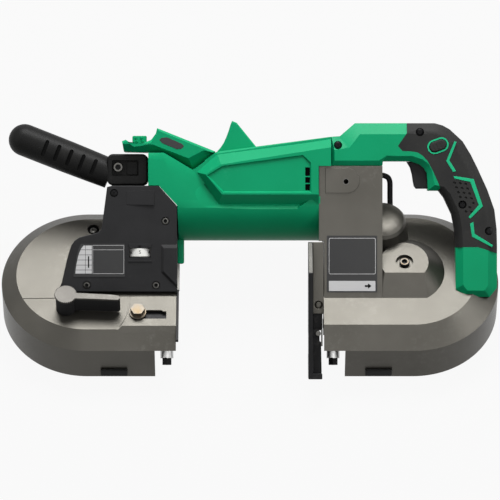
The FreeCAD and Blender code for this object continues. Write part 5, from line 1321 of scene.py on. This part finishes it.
# Stop plate: a black plate whose upper run is worn bright
stopSpec = {"width": 0.7, "segments": 2, "angle": 24, "across": (63.5, 67.5),
            "slope": ((60.0, 0.8), (27.6, 33.2)), "wearLifts": (-0.3, 0.25), "slopeShare": 0.707,
            "flange": [(313, 329), (319.4, 329), (319.6, 341), (321, 342), (321.6, 372), (320.8, 375.6),
                       (318.4, 377.6), (313, 378)], "flangeLevels": (3.4, 7.0),
            "block": ((313.0, 330.4), (322.4, 313.8)), "blockLevels": (-13.4, -0.6), "blockEdge": 0.6,
            "screw": (318.0, 333.4), "screwRadius": 3.0, "screwHeight": 2.2, "screwEdge": 0.7,
            "screwSunk": 0.1,
            "shim": ((321.0, 346.0), (322.5, 329.0)), "shimLevels": (-3.0, 9.0)}


def makeStopPlate(spec):
    dressNode("stop_plate", finishes["blackSteel"], "dark_steel", spec["width"], spec["segments"],
              spec["angle"])
    left, right = spec["across"]
    (top, topLevel), (low, lowLevel) = spec["slope"]
    corners = ((left, top, topLevel), (right, top, topLevel), (right, low, lowLevel), (left, low, lowLevel))
    rings = []
    for lift in spec["wearLifts"]:
        rise = Vector((0, lift, lift)) * spec["slopeShare"]
        rings.append([(Vector(corner) + rise) * mm for corner in corners])
    finishPiece(loftOf(rings), "stopWear", "frame", finishes["wornSteel"])
    low, high = spec["flangeLevels"]
    flange = slabOf(levelled(spec["flange"], low), high - low)
    block = photoBox(spec["block"], *spec["blockLevels"])
    joinInto(flange, soften(block, edgesAt(block, spec["blockLevels"][1]), spec["blockEdge"], 2))
    finishPiece(flange, "stopFlange", "frame", finishes["blackSteel"])
    head = rodOf(spec["screwRadius"], spec["screwHeight"], (0, 0, 0), "Z", 28)
    soften(head, edgesAt(head, spec["screwHeight"]), spec["screwEdge"], 3)
    head.transform(atPhoto(*spec["screw"], high - spec["screwSunk"]))
    joinInto(head, photoBox(spec["shim"], *spec["shimLevels"]))
    finishPiece(head, "stopScrew", "frame", finishes["wornSteel"])


makeStopPlate(stopSpec)
print("stop plate made")


# Guide studs: a bright collar and a black nut under each front roller
studSpec = {"across": 90.0, "level": 7.24, "collar": (7.0, -64.8, -56.2), "nut": (5.6, -72.4, -64.7),
            "edge": 0.5}


def makeGuideStuds(spec):
    for side, name, body in ((-1, "Left", "left_guide"), (1, "Right", "frame")):
        for part, sides, finish, slot in (("collar", 40, "wheelAlloy", "steel"),
                                          ("nut", 6, "blackSteel", "dark_steel")):
            radius, low, high = spec[part]
            piece = rodOf(radius, high - low, (side * spec["across"], low, spec["level"]), "Y", sides)
            soften(piece, sharpEdges(piece, 50), spec["edge"], 2)
            finishPiece(piece, "guide" + part.title() + name, body, finishes[finish])


makeGuideStuds(studSpec)
print("guide studs made")


# Throat edge of the left casing: a black lip whose upper run is bare
throatSpec = {"lip": ((-80.0, -90.0, 56.4), (-77.2, 14.0, 60.1)),
              "strip": ((-80.0, -22.0, 57.6), (-76.6, 14.0, 60.5)), "edge": 0.4}


def makeThroatEdge(spec):
    for part, finish in (("lip", "blackSteel"), ("strip", "wornSteel")):
        low, high = spec[part]
        piece = boxOf(Vector(low) * mm, Vector(high) * mm)
        soften(piece, piece.edges[:], spec["edge"], 2)
        finishPiece(piece, "throat" + part.title(), "frame", finishes[finish], (), flat)


makeThroatEdge(throatSpec)
print("throat edge made")


# Stage
stageSpec = {"distance": 5.0, "frameWidth": 0.5425, "aimPx": (250, 250), "sensor": 36.0, "floorSize": 6.0,
             "floorDrop": 0.0005,
             "floorTone": (120, 120, 120), "glow": 0.93, "worldLight": 0.12}
lampSpecs = {  # place and aim in the leaning plane in metres, width and height, watts
    "topLamp": ((0.0, 1.5, 0.6), (0.0, 0.05, 0.0), (1.2, 0.7), 42.0),
    "frontLamp": ((0.3, 0.1, 1.7), (0.0, 0.05, 0.0), (1.2, 1.2), 6.0),
    "leftLamp": ((-1.3, 0.35, 0.7), (0.0, 0.05, 0.0), (0.8, 0.8), 2.0),
    "rightLamp": ((1.25, 0.55, 0.8), (0.15, 0.0, 0.0), (0.5, 0.5), 7.0),
}


def makeCamera(spec):
    camera = bpy.data.objects.new("photoCamera", bpy.data.cameras.new("photoCamera"))
    camera.data.sensor_width = spec["sensor"]
    camera.data.lens = spec["sensor"] * spec["distance"] / spec["frameWidth"]
    aim = mark(*spec["aimPx"])
    camera.matrix_world = lean @ Matrix.Translation((aim.x, aim.y, spec["distance"]))
    bpy.context.scene.collection.objects.link(camera)
    bpy.context.scene.camera = camera


def makeLamp(name, place, aim, size, watts):
    light = bpy.data.lights.new(name, "AREA")
    light.shape = "RECTANGLE"
    light.size, light.size_y = size
    light.energy = watts
    lamp = bpy.data.objects.new(name, light)
    start, target = lean @ Vector(place), lean @ Vector(aim)
    turn = (target - start).to_track_quat("-Z", "Y")
    lamp.matrix_world = Matrix.Translation(start) @ turn.to_matrix().to_4x4()
    bpy.context.scene.collection.objects.link(lamp)


def lookRays(tree, path):  # one for rays that show the background, straight or in metal and glass
    total = path.outputs["Is Camera Ray"]
    for kind in ("Is Glossy Ray", "Is Transmission Ray"):
        either = tree.nodes.new("ShaderNodeMath")
        either.operation = "MAXIMUM"
        tree.links.new(total, either.inputs[0])
        tree.links.new(path.outputs[kind], either.inputs[1])
        total = either.outputs[0]
    return total


def makeFloor(spec):
    bm = bmesh.new()
    bmesh.ops.create_grid(bm, x_segments=4, y_segments=4, size=spec["floorSize"] / 2)
    mesh = bpy.data.meshes.new("studioFloor")
    bm.to_mesh(mesh)
    bm.free()
    floor = bpy.data.objects.new("studioFloor", mesh)
    floor.location.z = -spec["floorDrop"]
    bpy.context.scene.collection.objects.link(floor)
    paper = bpy.data.materials.new("floorPaper")
    paper.use_nodes = True
    tree = paper.node_tree
    tree.nodes.remove(tree.nodes["Principled BSDF"])
    matte = tree.nodes.new("ShaderNodeBsdfDiffuse")
    matte.inputs["Color"].default_value = linear(*spec["floorTone"])
    glow = tree.nodes.new("ShaderNodeEmission")
    path = tree.nodes.new("ShaderNodeLightPath")
    seen = tree.nodes.new("ShaderNodeMath")
    seen.operation = "MULTIPLY"
    seen.inputs[1].default_value = spec["glow"]
    mix = tree.nodes.new("ShaderNodeMixShader")
    tree.links.new(lookRays(tree, path), seen.inputs[0])
    tree.links.new(seen.outputs[0], mix.inputs["Fac"])
    tree.links.new(matte.outputs["BSDF"], mix.inputs[1])
    tree.links.new(glow.outputs["Emission"], mix.inputs[2])
    tree.links.new(mix.outputs["Shader"], tree.nodes["Material Output"].inputs["Surface"])
    mesh.materials.append(paper)


def makeWorld(spec):
    world = bpy.data.worlds.new("studioWorld")
    world.use_nodes = True
    tree = world.node_tree
    backing = tree.nodes["Background"]
    backing.inputs["Color"].default_value = (1, 1, 1, 1)
    path = tree.nodes.new("ShaderNodeLightPath")
    level = rangeNode(tree, lookRays(tree, path), 0.0, 1.0, spec["worldLight"], 1.0)
    tree.links.new(level, backing.inputs["Strength"])
    bpy.context.scene.world = world


makeCamera(stageSpec)
for lampName, lampSpec in lampSpecs.items():
    makeLamp(lampName, *lampSpec)
makeFloor(stageSpec)
makeWorld(stageSpec)
bpy.context.scene.view_settings.view_transform = "Standard"
print("stage set")
